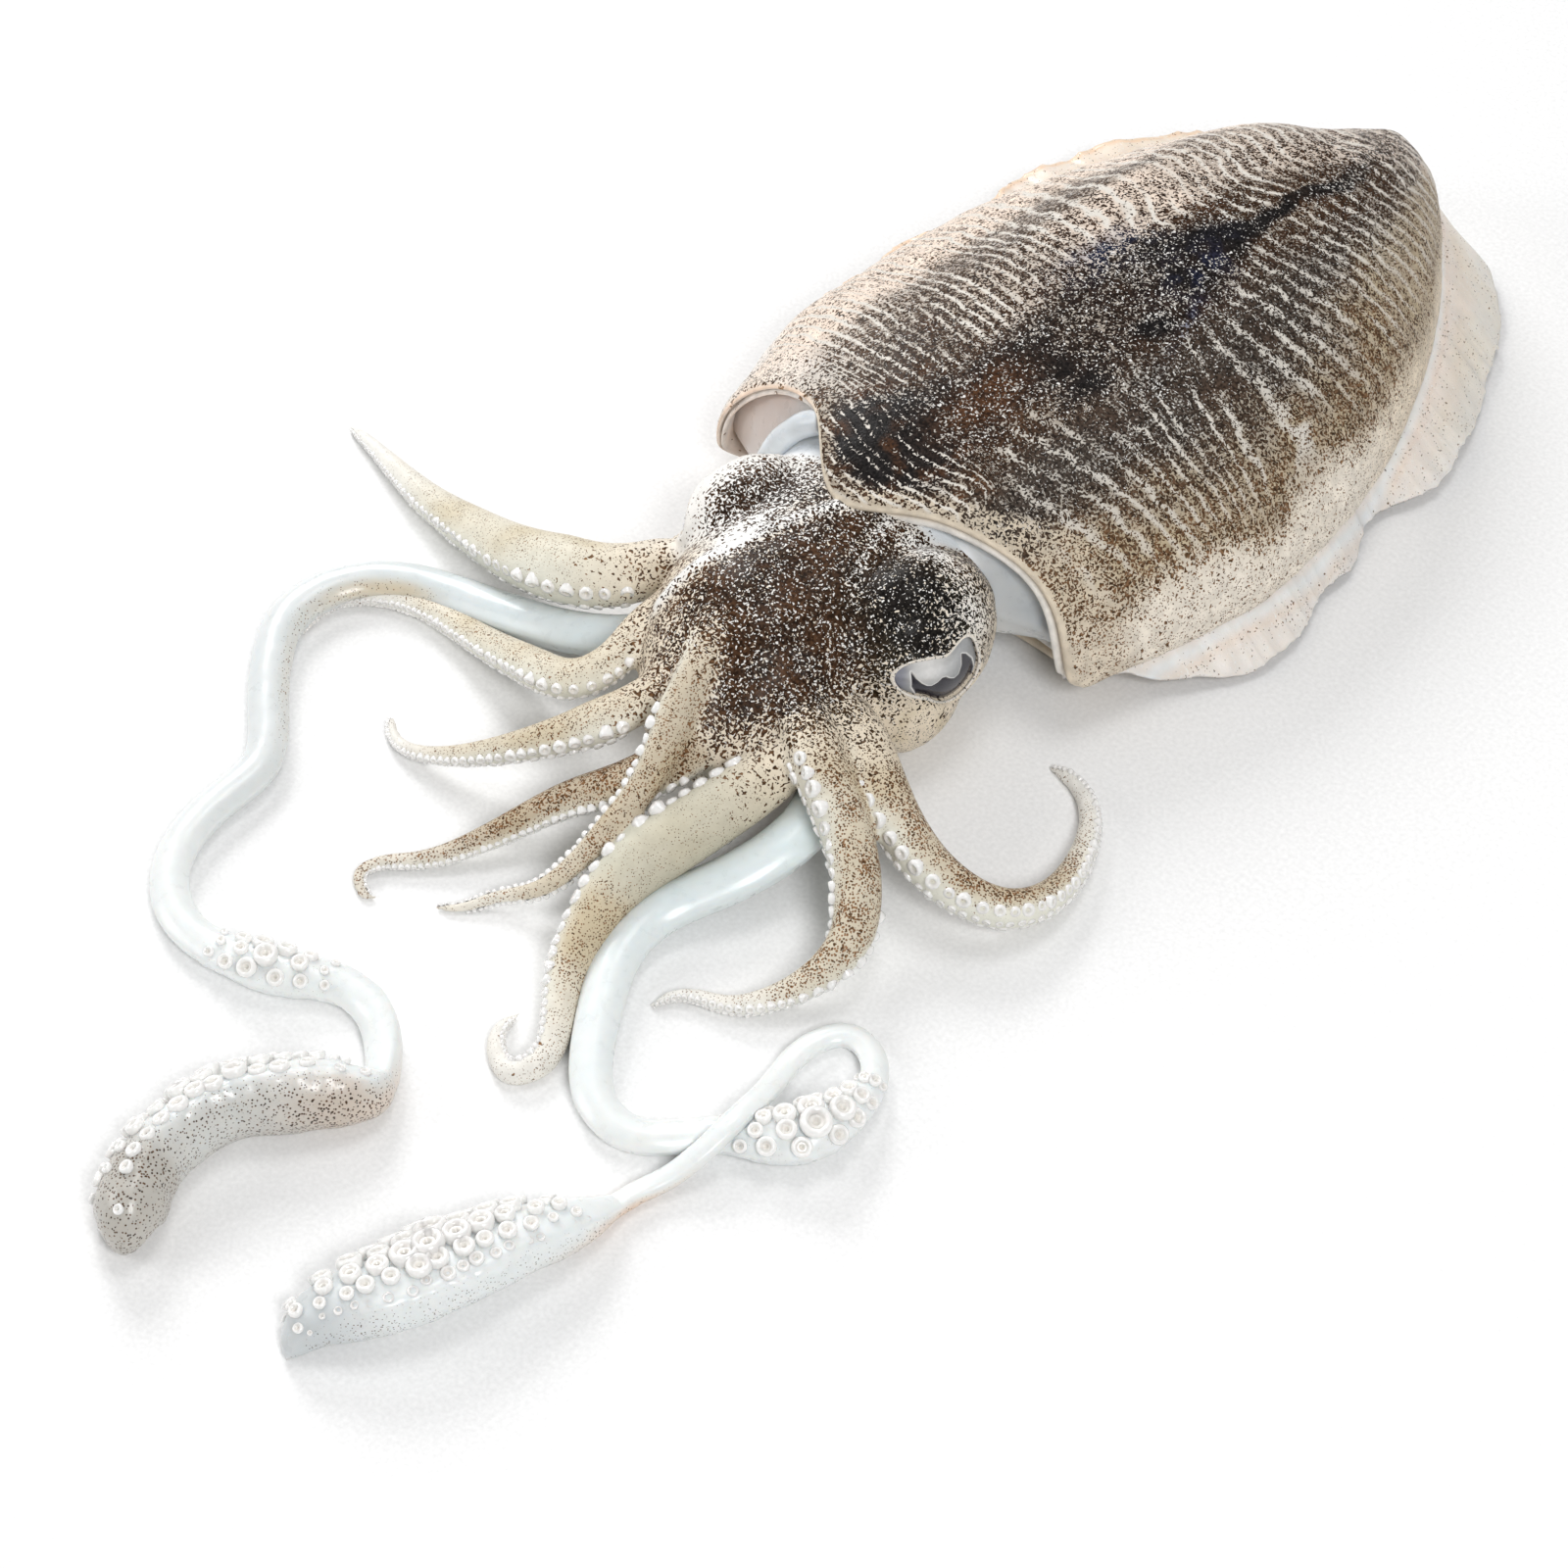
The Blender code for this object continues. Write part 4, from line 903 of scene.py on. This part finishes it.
def arm_skin(p, share, aboral, look):
    """Colours along an arm, from its look: a dotted back, paler glassy flanks and a pale tip."""
    coarse, middle = wander(p, 11.0, 6.6), wander(p, 4.0, 2.9)
    back = smooth((aboral + 0.55 + 0.3 * coarse) / 1.2)
    dotted, shade, worms, glass = look.T
    light_tip = rise(share, 0.55, 0.33) * np.where(shade < 0.72, 1.0, 0.55)
    glass = glass * fall(share, 0.32 - 0.1 * coarse, 0.22)
    worms = worms * (1.0 - 0.7 * rise(share, 0.35, 0.4))
    cover = (0.02 + worms * back ** 1.5) * (1.0 + 0.5 * middle) * (1.0 - 0.9 * glass)
    dots = (0.012 + dotted * back ** 1.2) * (1.0 + 0.9 * middle) * (1.0 - 0.8 * glass) * (1.0 - 0.8 * light_tip)
    shade = shade * (1.0 - 0.7 * light_tip)
    tint = paint(
        plain_colour("pearl", p),
        ("sand", back * (0.35 + 0.65 * shade + 0.3 * coarse)),
        ("yellow", 0.35 * back * smooth(coarse * 2.0)),
        ("taupe", 0.9 * back * (shade - 0.5)),
        ("sage", 0.8 * glass),
        ("tan", 0.2 * back * shade),
        ("white", 0.7 * light_tip))
    ink = paint(plain_colour("chestnut", p), ("umber", 0.3 + 0.7 * shade + 0.5 * coarse),
                ("brown", 0.35 * (1.0 - smooth(share * 3.0))))
    return tint, ink, cover, np.zeros(len(p)), dots


def eye_places():
    """For each eye: if it is the far one, its bulge, and its middle and directions out, along and across."""
    for far, bulge in ((False, EYE_BULGES[0]), (True, EYE_BULGES[2])):
        flip = np.array([-1.0 if far else 1.0, 1.0, 1.0])
        middle = EYE_MIDDLE * flip + FAR_EYE_SHIFT * far
        yield far, bulge, (middle, EYE_OUT * flip, EYE_ALONG * flip, np.cross(EYE_OUT, EYE_ALONG) * flip)


def rim_radius(angle):
    return curve(RIM, degrees_from(RIM[0][0], angle))


def signed_distance(points, outline):
    """Distance to a closed outline, negative inside it."""
    outline = np.asarray(outline, float)
    best = np.full(len(points), np.inf)
    inside = np.zeros(len(points), bool)
    for a, b in zip(outline, np.roll(outline, -1, axis=0)):
        t = np.clip(((points - a) @ (b - a)) / ((b - a) @ (b - a)), 0.0, 1.0)
        best = np.minimum(best, np.linalg.norm(points - a - t[:, None] * (b - a), axis=1))
        crossed = (a[1] > points[:, 1]) != (b[1] > points[:, 1])
        with np.errstate(divide="ignore", invalid="ignore"):
            reach = (b[0] - a[0]) * (points[:, 1] - a[1]) / (b[1] - a[1]) + a[0]
        inside ^= crossed & (points[:, 0] < reach)
    return np.where(inside, -best, best)


def bulge_depth(uv, axes, bulge):
    """How far the eye bulge's surface lies below the eye's plane, at places in that plane."""
    middle, out, along, up = axes
    centre, size = np.array(bulge[0]), np.array(bulge[1])
    starts = middle + uv[..., :1] * along + uv[..., 1:] * up
    a, b = (starts - centre) / size, out / size
    qa, qb, qc = (b * b).sum(), 2.0 * (a * b).sum(-1), (a * a).sum(-1) - 1.0
    return (-qb + np.sqrt(np.maximum(qb * qb - 4.0 * qa * qc, 0.0))) / (2.0 * qa)


def head_and_arms(material):
    """Head, eye bulges and arms fused into one skin."""
    source = Mesh()
    owners, arcs, aborals = [], [], []

    def include(rings, owner, arc=None, aboral=0.0):
        capped(source, rings)
        rows, columns = rings.shape[:2]
        arc = np.zeros(rows) if arc is None else arc
        owners.append(np.full(rows * columns + 2, owner))
        arcs.append(np.concatenate([np.repeat(arc, columns), arc[[0, -1]]]))
        aborals.append(np.concatenate([np.broadcast_to(aboral, (rows, columns)).ravel(), [0.0, 0.0]]))

    include(head_rings(), OF_HEAD)
    for centre, size in EYE_BULGES:
        include(ball_rings(centre, size), OF_EYE)
    limbs = [arm_limb(spec) for spec in ARMS]
    for k, limb in enumerate(limbs):
        rings, angle = limb_grid(limb, 32, edge=0.06)
        include(rings, k, limb.arc, -np.sin(angle))
    owners, arcs, aborals = (np.concatenate(part) for part in (owners, arcs, aborals))
    samples = np.concatenate(source.points)

    points, faces, edges = fused(source, VOXEL)
    tree = KDTree(len(samples))
    for index, point in enumerate(samples.tolist()):
        tree.insert(point, index)
    tree.balance()
    nearest = np.array([tree.find(point)[1] for point in points.tolist()])
    owner, arc, aboral = owners[nearest], arcs[nearest], aborals[nearest]

    root = np.exp(-((points[:, :2] - CROWN_FRONT) ** 2).sum(1) / (2.0 * 24.0 ** 2))
    points = relax(points, edges, 0.25 + 0.25 * root, 6)
    points = relax(points, edges, 0.5 * root, 22)

    half = np.full(len(points), 0.5)
    on_arm = np.where(owner >= 0, smooth(arc / 24.0), 0.0)
    mix = relax(on_arm[:, None], edges, half, 12)[:, 0]
    white = rise(points[:, 1], 43.0, 4.0) * (owner == OF_HEAD)
    white = relax(white[:, None], edges, half, 3)[:, 0]
    lengths = np.array([limb.arc[-1] for limb in limbs] + [1.0, 1.0])
    look = np.array([ARM_LOOK[spec.name] for spec in ARMS] + 2 * [(0.0, 0.0, 0.0, 0.0)])[owner]
    of_arm = arm_skin(points, arc / lengths[owner], aboral, look)
    tint, ink, cover, fleck, dots = [
        settle(head.T, (limb.T, mix)).T for head, limb in zip(head_skin(points), of_arm)]
    tint = paint(tint, ("bluish", white))
    cover, fleck, dots = [values * (1.0 - white) for values in (cover, fleck, dots)]

    bumps = (0.35 * wander(points, 7.0, 3.0) + 0.16 * wander(points, 2.6, 5.0)) * (1.0 - 0.75 * mix)
    bumps += 0.8 * far_ridge(points, 1.6) * rise(points[:, 2], 26.0, 5.0) * (owner < 0)
    points = points + unit(points - HEAD_MIDDLE) * (bumps * (1.0 - white))[:, None]
    for _, _, (middle, out, along, up) in eye_places():
        local = points - middle
        at = np.stack([local @ along, local @ up], axis=-1) - RIM_MIDDLE
        beyond = np.linalg.norm(at, axis=1) - rim_radius(np.arctan2(at[:, 1], at[:, 0]))
        facing = (local @ out > -9.0) & (owner == OF_EYE)
        lid = 0.5 * hill(beyond, 0.9, 0.9) - 2.4 * smooth(-beyond / 1.2 + 0.3)
        points = points + out * np.where(facing, lid, 0.0)[:, None]
    points[:, 2] = np.maximum(points[:, 2], ABOVE_GROUND)

    mesh = Mesh()
    mesh.add(points, faces, tint=tint, ink=ink, reach=worm_level(cover), fleck=dot_size(fleck), dots=dot_size(dots))
    return mesh.make("head_and_arms", material)


def eyes(eye_material, lid_material):
    """Each eye: a silvery ball with the dark W-shaped pupil, and the thin lid round it."""
    ball, lid = Mesh(), Mesh()
    for far, bulge, axes in eye_places():
        middle, out, along, up = axes

        def rays(count):
            angles = np.linspace(-math.pi, math.pi, count, endpoint=False)
            return rim_radius(angles), np.stack([np.cos(angles), np.sin(angles)], axis=-1)

        def lifted(uv, height):
            """Places in the eye's plane, at this height over the bulge's surface."""
            height = height + bulge_depth(uv, axes, bulge)
            return middle + uv[..., :1] * along + uv[..., 1:] * up + height[..., None] * out

        radius, ray = rays(180)
        shares = np.linspace(0.005, 1.07, 60)
        uv = (RIM_MIDDLE + (shares[:, None] * radius)[..., None] * ray).reshape(-1, 2)
        u, v = uv.T
        share, inside = np.repeat(shares, len(radius)), signed_distance(uv, PUPIL)
        height = 0.9 * (1.0 - share ** 2) - 1.3 + 0.45 * smooth(inside / 0.35 + 0.5) - 0.8 * rise(share, 0.93, 0.12)
        points = lifted(uv, height)
        # A painted highlight near the middle of the eye, and painted shading that lightens the silver towards the
        # top.
        gleam = glow(points, middle - 2.0 * along + 2.0 * up, (4.0, 4.0, 4.0))
        tint = paint(
            plain_colour("silver", points),
            ("white", 0.75 * gleam + 0.2 * smooth(0.5 + 0.09 * v + 0.05 * u)),
            ("violet", 0.7 * smooth((-4.5 - u) / 3.0)),
            ("pupil", smooth(0.5 - inside / 0.22)),
            ("white", 0.9 * hill(inside, 0.2, 0.13)),
            ("dark", 0.8 * rise(share, 0.96, 0.05) * smooth(-v / 4.0 - 0.6)))
        faces = grid_faces(len(shares), len(radius))
        ball.add(points, faces if far else faces[:, ::-1], tint=tint)

        t = turn_round(12)
        radius, ray = rays(200)
        ring = RIM_MIDDLE + (radius[:, None] + 0.25 + 0.55 * np.cos(t))[..., None] * ray[:, None]
        ring = lifted(ring, 0.5 * np.sin(t) - 0.15)
        lid.add(ring, grid_faces(*ring.shape[:2], ring=True),
                tint=paint(plain_colour("pink", ring), ("cream", 0.4)), **bare(ring, 0.25))
    return ball.make("eyes", eye_material), lid.make("eye_lids", lid_material)


def arm_suckers(material):
    """Rows of small cups along the sucker side of every arm."""
    rng = np.random.default_rng(5)
    places, facings, radii = [], [], []
    for spec in ARMS:
        limb = arm_limb(spec)
        for row, (shift, size) in enumerate(SUCKER_ROWS):
            place = SUCKERS_FROM.get(spec.name, 11.0) + 0.8 * (row % 2)
            while place < 0.975 * limb.arc[-1]:
                line, oral, across, wide, _ = limb_at(limb, place)
                radius = (0.24 + 0.185 * wide) * size * SUCKER_SCALE.get(spec.name, 1.0) * rng.uniform(0.78, 1.15)
                out = math.sqrt(max(1.0 - shift ** 2, 0.12))
                aside = shift + rng.uniform(-0.07, 0.07)
                places.append(line + wide * (0.74 * out * oral + 0.97 * aside * across))
                facings.append(oral * (0.35 + out) + 0.75 * shift * across + rng.uniform(-0.3, 0.3, 3))
                radii.append(radius)
                place += 2.0 * radius
    mesh = Mesh()
    cups(mesh, places, facings, radii, 9, SMALL_CUP)
    return mesh.make("arm_suckers", material)


def tentacle_suckers(material):
    """Ringed cups on the clubs, and on the small patch half way along each tentacle."""
    rng = np.random.default_rng(7)
    mesh = Mesh()
    for spec in TENTACLES:
        limb = tentacle_limb(spec)
        places, facings, radii = [], [], []
        for first, last, count, shift, size in spec.rows:
            middle, reach = 0.5 * (first + last), 0.5 * (last - first)
            for place in np.linspace(first, last, count):
                place += rng.uniform(-0.6, 0.6)
                aside = shift + rng.uniform(-0.06, 0.06)
                line, oral, across, wide, tall = limb_at(limb, place)
                radius = size * (1.0 - 0.55 * abs(place - middle) / reach) * rng.uniform(0.8, 1.12)
                height = 0.8 * tall * math.sqrt(max(1.0 - 0.85 * aside ** 2, 0.1))
                places.append(line + 0.9 * aside * wide * across + (height + 0.3 * radius) * oral)
                facings.append(oral + 0.75 * aside * across)
                radii.append(radius)
        cups(mesh, places, facings, radii, 18, CUP)
    return mesh.make("tentacle_suckers", material)


def tentacles(material):
    """The two long tentacles with their clubs, each one closed tube."""
    for spec in TENTACLES:
        far = spec.name == "far"
        limb = tentacle_limb(spec)
        grid, angle = limb_grid(limb, TENTACLE_SIDES, edge=0.10)
        arc = np.repeat(limb.arc[:, None], TENTACLE_SIDES, 1)
        to_tip, aboral = limb.arc[-1] - arc, -np.sin(angle)
        middle, reach, _ = spec.club
        patch_middle, patch_reach, _ = spec.patch
        club = rise(arc, middle - 1.15 * reach, 12.0)
        patch = smooth((patch_reach - np.abs(arc - patch_middle)) / 8.0)
        coarse = wander(grid, 9.0, 4.4)
        relief = 0.35 * wander(grid, 5.0, 1.7) + 0.22 * wander(grid, 2.4, 3.9)
        relief *= 0.15 + 0.85 * np.maximum(club, 0.7 * patch)
        border = hill(-aboral, 0.15, 0.35) * rise(to_tip, 3.0, 10.0) * np.maximum(club, patch)
        relief += 0.7 * border * np.abs(wander(grid, 2.6, 7.1))
        grid = grid + unit(grid - limb.line[:, None]) * relief[..., None]
        grid[..., 2] = np.maximum(grid[..., 2], ABOVE_GROUND)

        neck = hill(arc, middle - reach + (8.0 if far else -1.0), 11.0)
        back, end = smooth(aboral * 1.1 + 0.55), far * fall(to_tip, 12.0, 12.0)
        streak = far * hill(np.cos(angle), 0.85, 0.32) * smooth(0.9 - 2.0 * aboral)
        streak *= rise(arc, 48.0, 15.0) * fall(arc, 110.0, 30.0)
        tint = paint(
            plain_colour("glassy", grid),
            ("white", 0.15 + 0.5 * smooth(arc / 110.0) + 0.15 * coarse),
            # Painted shade: the first part of the far tentacle is greyed where the key light falls strongly on it.
            ("mist", 0.3 * far * fall(arc, 120.0, 60.0)),
            ("peach", 0.8 * neck * smooth(aboral * 0.8 + 0.4 + 0.5 * coarse)),
            ("stone", np.maximum(far * (0.62 + 0.2 * coarse) * club * back, 0.95 * end)),
            # Greyer towards the near club's tip: partly its translucent colour, partly painted shade.
            ("mist", 0.6 * (not far) * fall(to_tip, 6.0, 18.0)),
            ("sand", streak * (0.2 + 0.7 * fall(arc, 68.0, 26.0))))
        dots = np.maximum(club * back * (0.17 if far else 0.09), 0.2 * end)
        dots = (dots + 0.10 * neck * smooth(aboral + 0.2) + 0.01 * patch + 0.1 * streak) * (1.0 + 0.6 * coarse)
        mesh = Mesh()
        capped(mesh, grid, tint=tint, ink=paint(plain_colour("umber", grid), ("brown", 0.6 * club)),
               reach=np.full(arc.shape, worm_level(0.0005)), fleck=np.full(arc.shape, UNMARKED), dots=dot_size(dots))
        mesh.make(f"tentacle_{spec.name}", material)


class Look:
    """A new material with its shader's constant settings, and short ways to add nodes to it."""

    def __init__(self, name, **settings):
        self.material = bpy.data.materials.new(name)
        self.material.use_nodes = True
        self.tree = self.material.node_tree
        self.shader = self.tree.nodes["Principled BSDF"]
        self.put(self.shader, {field.replace("_", " "): value for field, value in settings.items()})
        self.place = self.node("TexCoord", "Object", {})

    def put(self, node, inputs):
        for name, value in inputs.items():
            if isinstance(value, bpy.types.NodeSocket):
                self.tree.links.new(value, node.inputs[name])
            else:
                node.inputs[name].default_value = value

    def node(self, kind, output, inputs, **settings):
        made = self.tree.nodes.new("ShaderNode" + kind)
        for name, value in settings.items():
            setattr(made, name, value)
        self.put(made, inputs)
        return made.outputs[output]

    def maths(self, operation, *values, clamp=False):
        return self.node("Math", 0, dict(enumerate(values)), operation=operation, use_clamp=clamp)

    def field(self, name, output="Fac"):
        return self.node("Attribute", output, {}, attribute_name=name)

    def cloudy(self, size, detail=0.0, bend=0.0, output="Fac"):
        inputs = {"Scale": 1.0 / (size * MM), "Detail": detail, "Distortion": bend, "Vector": self.place}
        return self.node("TexNoise", output, inputs)

    def scattered(self, spacing, place):
        """The distance to the nearest of some scattered points."""
        return self.node("TexVoronoi", "Distance", {"Scale": 1.0 / (spacing * MM), "Vector": place})

    def spread(self, value, low, high, first=0.3, last=0.7):
        """The value taken from first to last onto the range from low to high."""
        inputs = {"From Min": first, "From Max": last, "To Min": low, "To Max": high, "Value": value}
        return self.node("MapRange", "Result", inputs)

    def mix(self, kind, factor, first, second):
        return self.node("Mix", "Result", {0: factor, "A": first, "B": second}, data_type="RGBA", blend_type=kind)

    def below(self, level, value, edge):
        """1 where the value lies below the level, with a soft edge this wide."""
        return self.maths("MULTIPLY_ADD", self.maths("SUBTRACT", level, value), 1.0 / edge, 0.5, clamp=True)

    def bump(self, strength, depth, height):
        return self.node("Bump", "Normal", {"Strength": strength, "Distance": depth * MM, "Height": height})


def skin(name, cell, rough, scatter, coat, gleam=0.5, relief=0.35, clump=0.3, dot=0.75, mark=0.9):
    """Moist skin: worm-like pigment cells over the tint, white flecks, pale stripes and a fine relief.

    cell is the size in mm of the pigment's pattern, dot the spacing of its loose dots and mark that of
    the white flecks. clump is how strongly cells gather in groups.
    """
    look = Look(name, Subsurface_Weight=scatter, Subsurface_Radius=(1.0, 0.8, 0.65), Subsurface_Scale=1.5 * MM,
                Coat_Weight=coat, Coat_Roughness=0.14, Specular_IOR_Level=gleam, IOR=1.4)
    maths, field, cloudy, spread, below, mix = (
        look.maths, look.field, look.cloudy, look.spread, look.below, look.mix)
    groups, cloud = cloudy(3.0 * cell, 1.0), cloudy(2.6, 3.0)
    wave = maths("MULTIPLY_ADD", cloudy(4.6, 1.0), 0.75, field("count"))
    crest, stripe = maths("COSINE", maths("MULTIPLY", wave, 2.0 * math.pi)), field("stripe")
    line = maths("MULTIPLY", maths("MULTIPLY_ADD", crest, 1.6, -0.55, clamp=True), stripe)
    band = maths("MULTIPLY", maths("MULTIPLY_ADD", crest, 0.6, 0.3, clamp=True), stripe)

    reach = maths("ADD", field("reach"), spread(groups, -0.12 * clump, 0.12 * clump))
    reach = maths("MULTIPLY_ADD", line, -0.08, maths("MULTIPLY_ADD", band, -0.08, reach))
    folded = maths("ABSOLUTE", maths("SUBTRACT", cloudy(cell, 0.0, 0.7), 0.5))
    pattern = maths("SUBTRACT", 0.675, maths("MULTIPLY_ADD", cloudy(0.7 * cell), 0.35, folded))
    dotted = below(maths("SUBTRACT", field("dots"), 0.05), look.scattered(dot, look.place), 0.1)
    covered = maths("MAXIMUM", below(reach, pattern, 0.032), dotted)
    bend = {0: cloudy(1.1 * mark, output="Color"), 1: 3 * (1.6 * mark * MM,), 2: look.place}
    bent = look.node("VectorMath", "Vector", bend, operation="MULTIPLY_ADD")
    bright = below(maths("SUBTRACT", field("fleck"), 0.05), look.scattered(mark, bent), 0.1)

    ink = mix("MULTIPLY", 1.0, field("ink", "Color"), spread(cloudy(0.75 * cell), 0.5, 1.9))
    light = mix("MULTIPLY", 1.0, field("tint", "Color"), spread(cloud, 1.0 - 0.4 * clump, 1.0 + 0.3 * clump))
    light = mix("MIX", maths("MULTIPLY", line, stripe), light, (*COLOURS["stripe"], 1.0))
    colour = mix("MIX", maths("MULTIPLY", bright, 0.95), mix("MIX", covered, light, ink), (*COLOURS["fleck"], 1.0))
    height = maths("MULTIPLY_ADD", bright, 0.6, maths("MULTIPLY", covered, -0.35))
    height = maths("MULTIPLY_ADD", cloudy(0.45, 1.0), 0.8, height)
    normal = look.bump(relief, 0.22, maths("MULTIPLY_ADD", line, 0.6, height))
    look.put(look.shader, {"Base Color": colour, "Normal": normal, "Coat Normal": normal,
                           "Roughness": spread(cloud, rough - 0.05, rough + 0.08)})
    return look.material


def plain(name, colour, rough, scatter=0.0, coat=0.0, metal=0.0, field=None, relief=0.0):
    """A smooth moist surface, with its colour from a field of the mesh where one is named."""
    look = Look(name, Base_Color=(*colour, 1.0), Metallic=metal, Subsurface_Weight=scatter,
                Subsurface_Radius=(0.9, 1.0, 1.0), Subsurface_Scale=1.5 * MM, Coat_Weight=coat, Coat_Roughness=0.06)
    cloud = look.cloudy(0.9, 3.0)
    ground = look.field(field, "Color") if field else (*colour, 1.0)
    shade = look.spread(cloud, 0.85, 1.12, 0.0, 1.0)
    gloss = look.spread(cloud, max(rough - 0.05, 0.02), rough + 0.08, 0.0, 1.0)
    look.put(look.shader, {"Base Color": look.mix("MULTIPLY", 1.0, ground, shade), "Roughness": gloss})
    if relief:
        look.put(look.shader, {"Normal": look.bump(relief, 0.2, cloud)})
    return look.material


def area_light(name, place, size, power):
    data = bpy.data.lights.new(name, "AREA")
    data.shape, data.size, data.energy = "DISK", size, power
    light = bpy.data.objects.new(name, data)
    light.location = place
    light.rotation_euler = (Vector(LIT_POINT) - Vector(place)).to_track_quat("-Z", "Y").to_euler()
    bpy.context.scene.collection.objects.link(light)


def studio():
    """White floor, a white surround, a strong light behind the far side and a soft one in front."""
    mesh = bpy.data.meshes.new("floor")
    mesh.from_pydata([(-3, -3, 0), (3, -3, 0), (3, 3, 0), (-3, 3, 0)], [], [(0, 1, 2, 3)])
    floor = bpy.data.objects.new("floor", mesh)
    bpy.context.scene.collection.objects.link(floor)
    mesh.materials.append(plain("floor_white", (0.9, 0.9, 0.9), 0.6))
    world = bpy.data.worlds.new("surround")
    world.use_nodes = True
    background = world.node_tree.nodes["Background"]
    background.inputs["Color"].default_value = (1.0, 1.0, 1.0, 1.0)
    background.inputs["Strength"].default_value = SURROUND_STRENGTH
    bpy.context.scene.world = world
    bpy.context.scene.view_settings.view_transform = "Standard"
    for light in LIGHTS:
        area_light(*light)


def camera():
    azimuth, elevation = math.radians(CAMERA_AZIMUTH), math.radians(CAMERA_ELEVATION)
    back = np.array([
        math.sin(azimuth) * math.cos(elevation), -math.cos(azimuth) * math.cos(elevation), math.sin(elevation)])
    data = bpy.data.cameras.new("camera")
    data.lens, data.sensor_width, data.clip_start = CAMERA_LENS, CAMERA_SENSOR, 0.01
    made = bpy.data.objects.new("camera", data)
    made.location = (TO_ORIGIN + back * CAMERA_DISTANCE) * MM
    made.rotation_euler = Vector(-back).to_track_quat("-Z", "Y").to_euler()
    bpy.context.scene.collection.objects.link(made)
    bpy.context.scene.camera = made


def main():
    camera()
    studio()
    shield_skin = skin("mantle_skin", cell=0.84, rough=0.36, scatter=0.0, coat=0.03, gleam=0.07, relief=0.6,
                       clump=0.4, dot=0.62)
    body_skin = skin("head_skin", cell=0.9, rough=0.30, scatter=0.0, coat=0.06, gleam=0.06, relief=0.5,
                     clump=0.15, dot=0.5, mark=0.78)
    fin_skin = skin("fin_skin", cell=0.6, rough=0.35, scatter=0.5, coat=0.35, relief=0.25, clump=0.1)
    tentacle_skin = skin("tentacle_skin", cell=1.1, rough=0.3, scatter=0.5, coat=0.3, relief=0.08, clump=0.06,
                         dot=0.66)
    cup_white = plain("sucker_white", COLOURS["white"], 0.2, scatter=0.4, coat=0.6, field="tint", relief=0.2)
    eye_silver = plain("eye_silver", (0.6, 0.65, 0.7), 0.16, coat=0.2, metal=0.1, field="tint")

    shield = mantle(shield_skin)
    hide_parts(NODE)
    fins(fin_skin)
    collar(tentacle_skin)
    head_and_arms(body_skin)
    eyes(eye_silver, fin_skin)
    tentacles(tentacle_skin)
    arm_suckers(cup_white)
    tentacle_suckers(cup_white)


main()
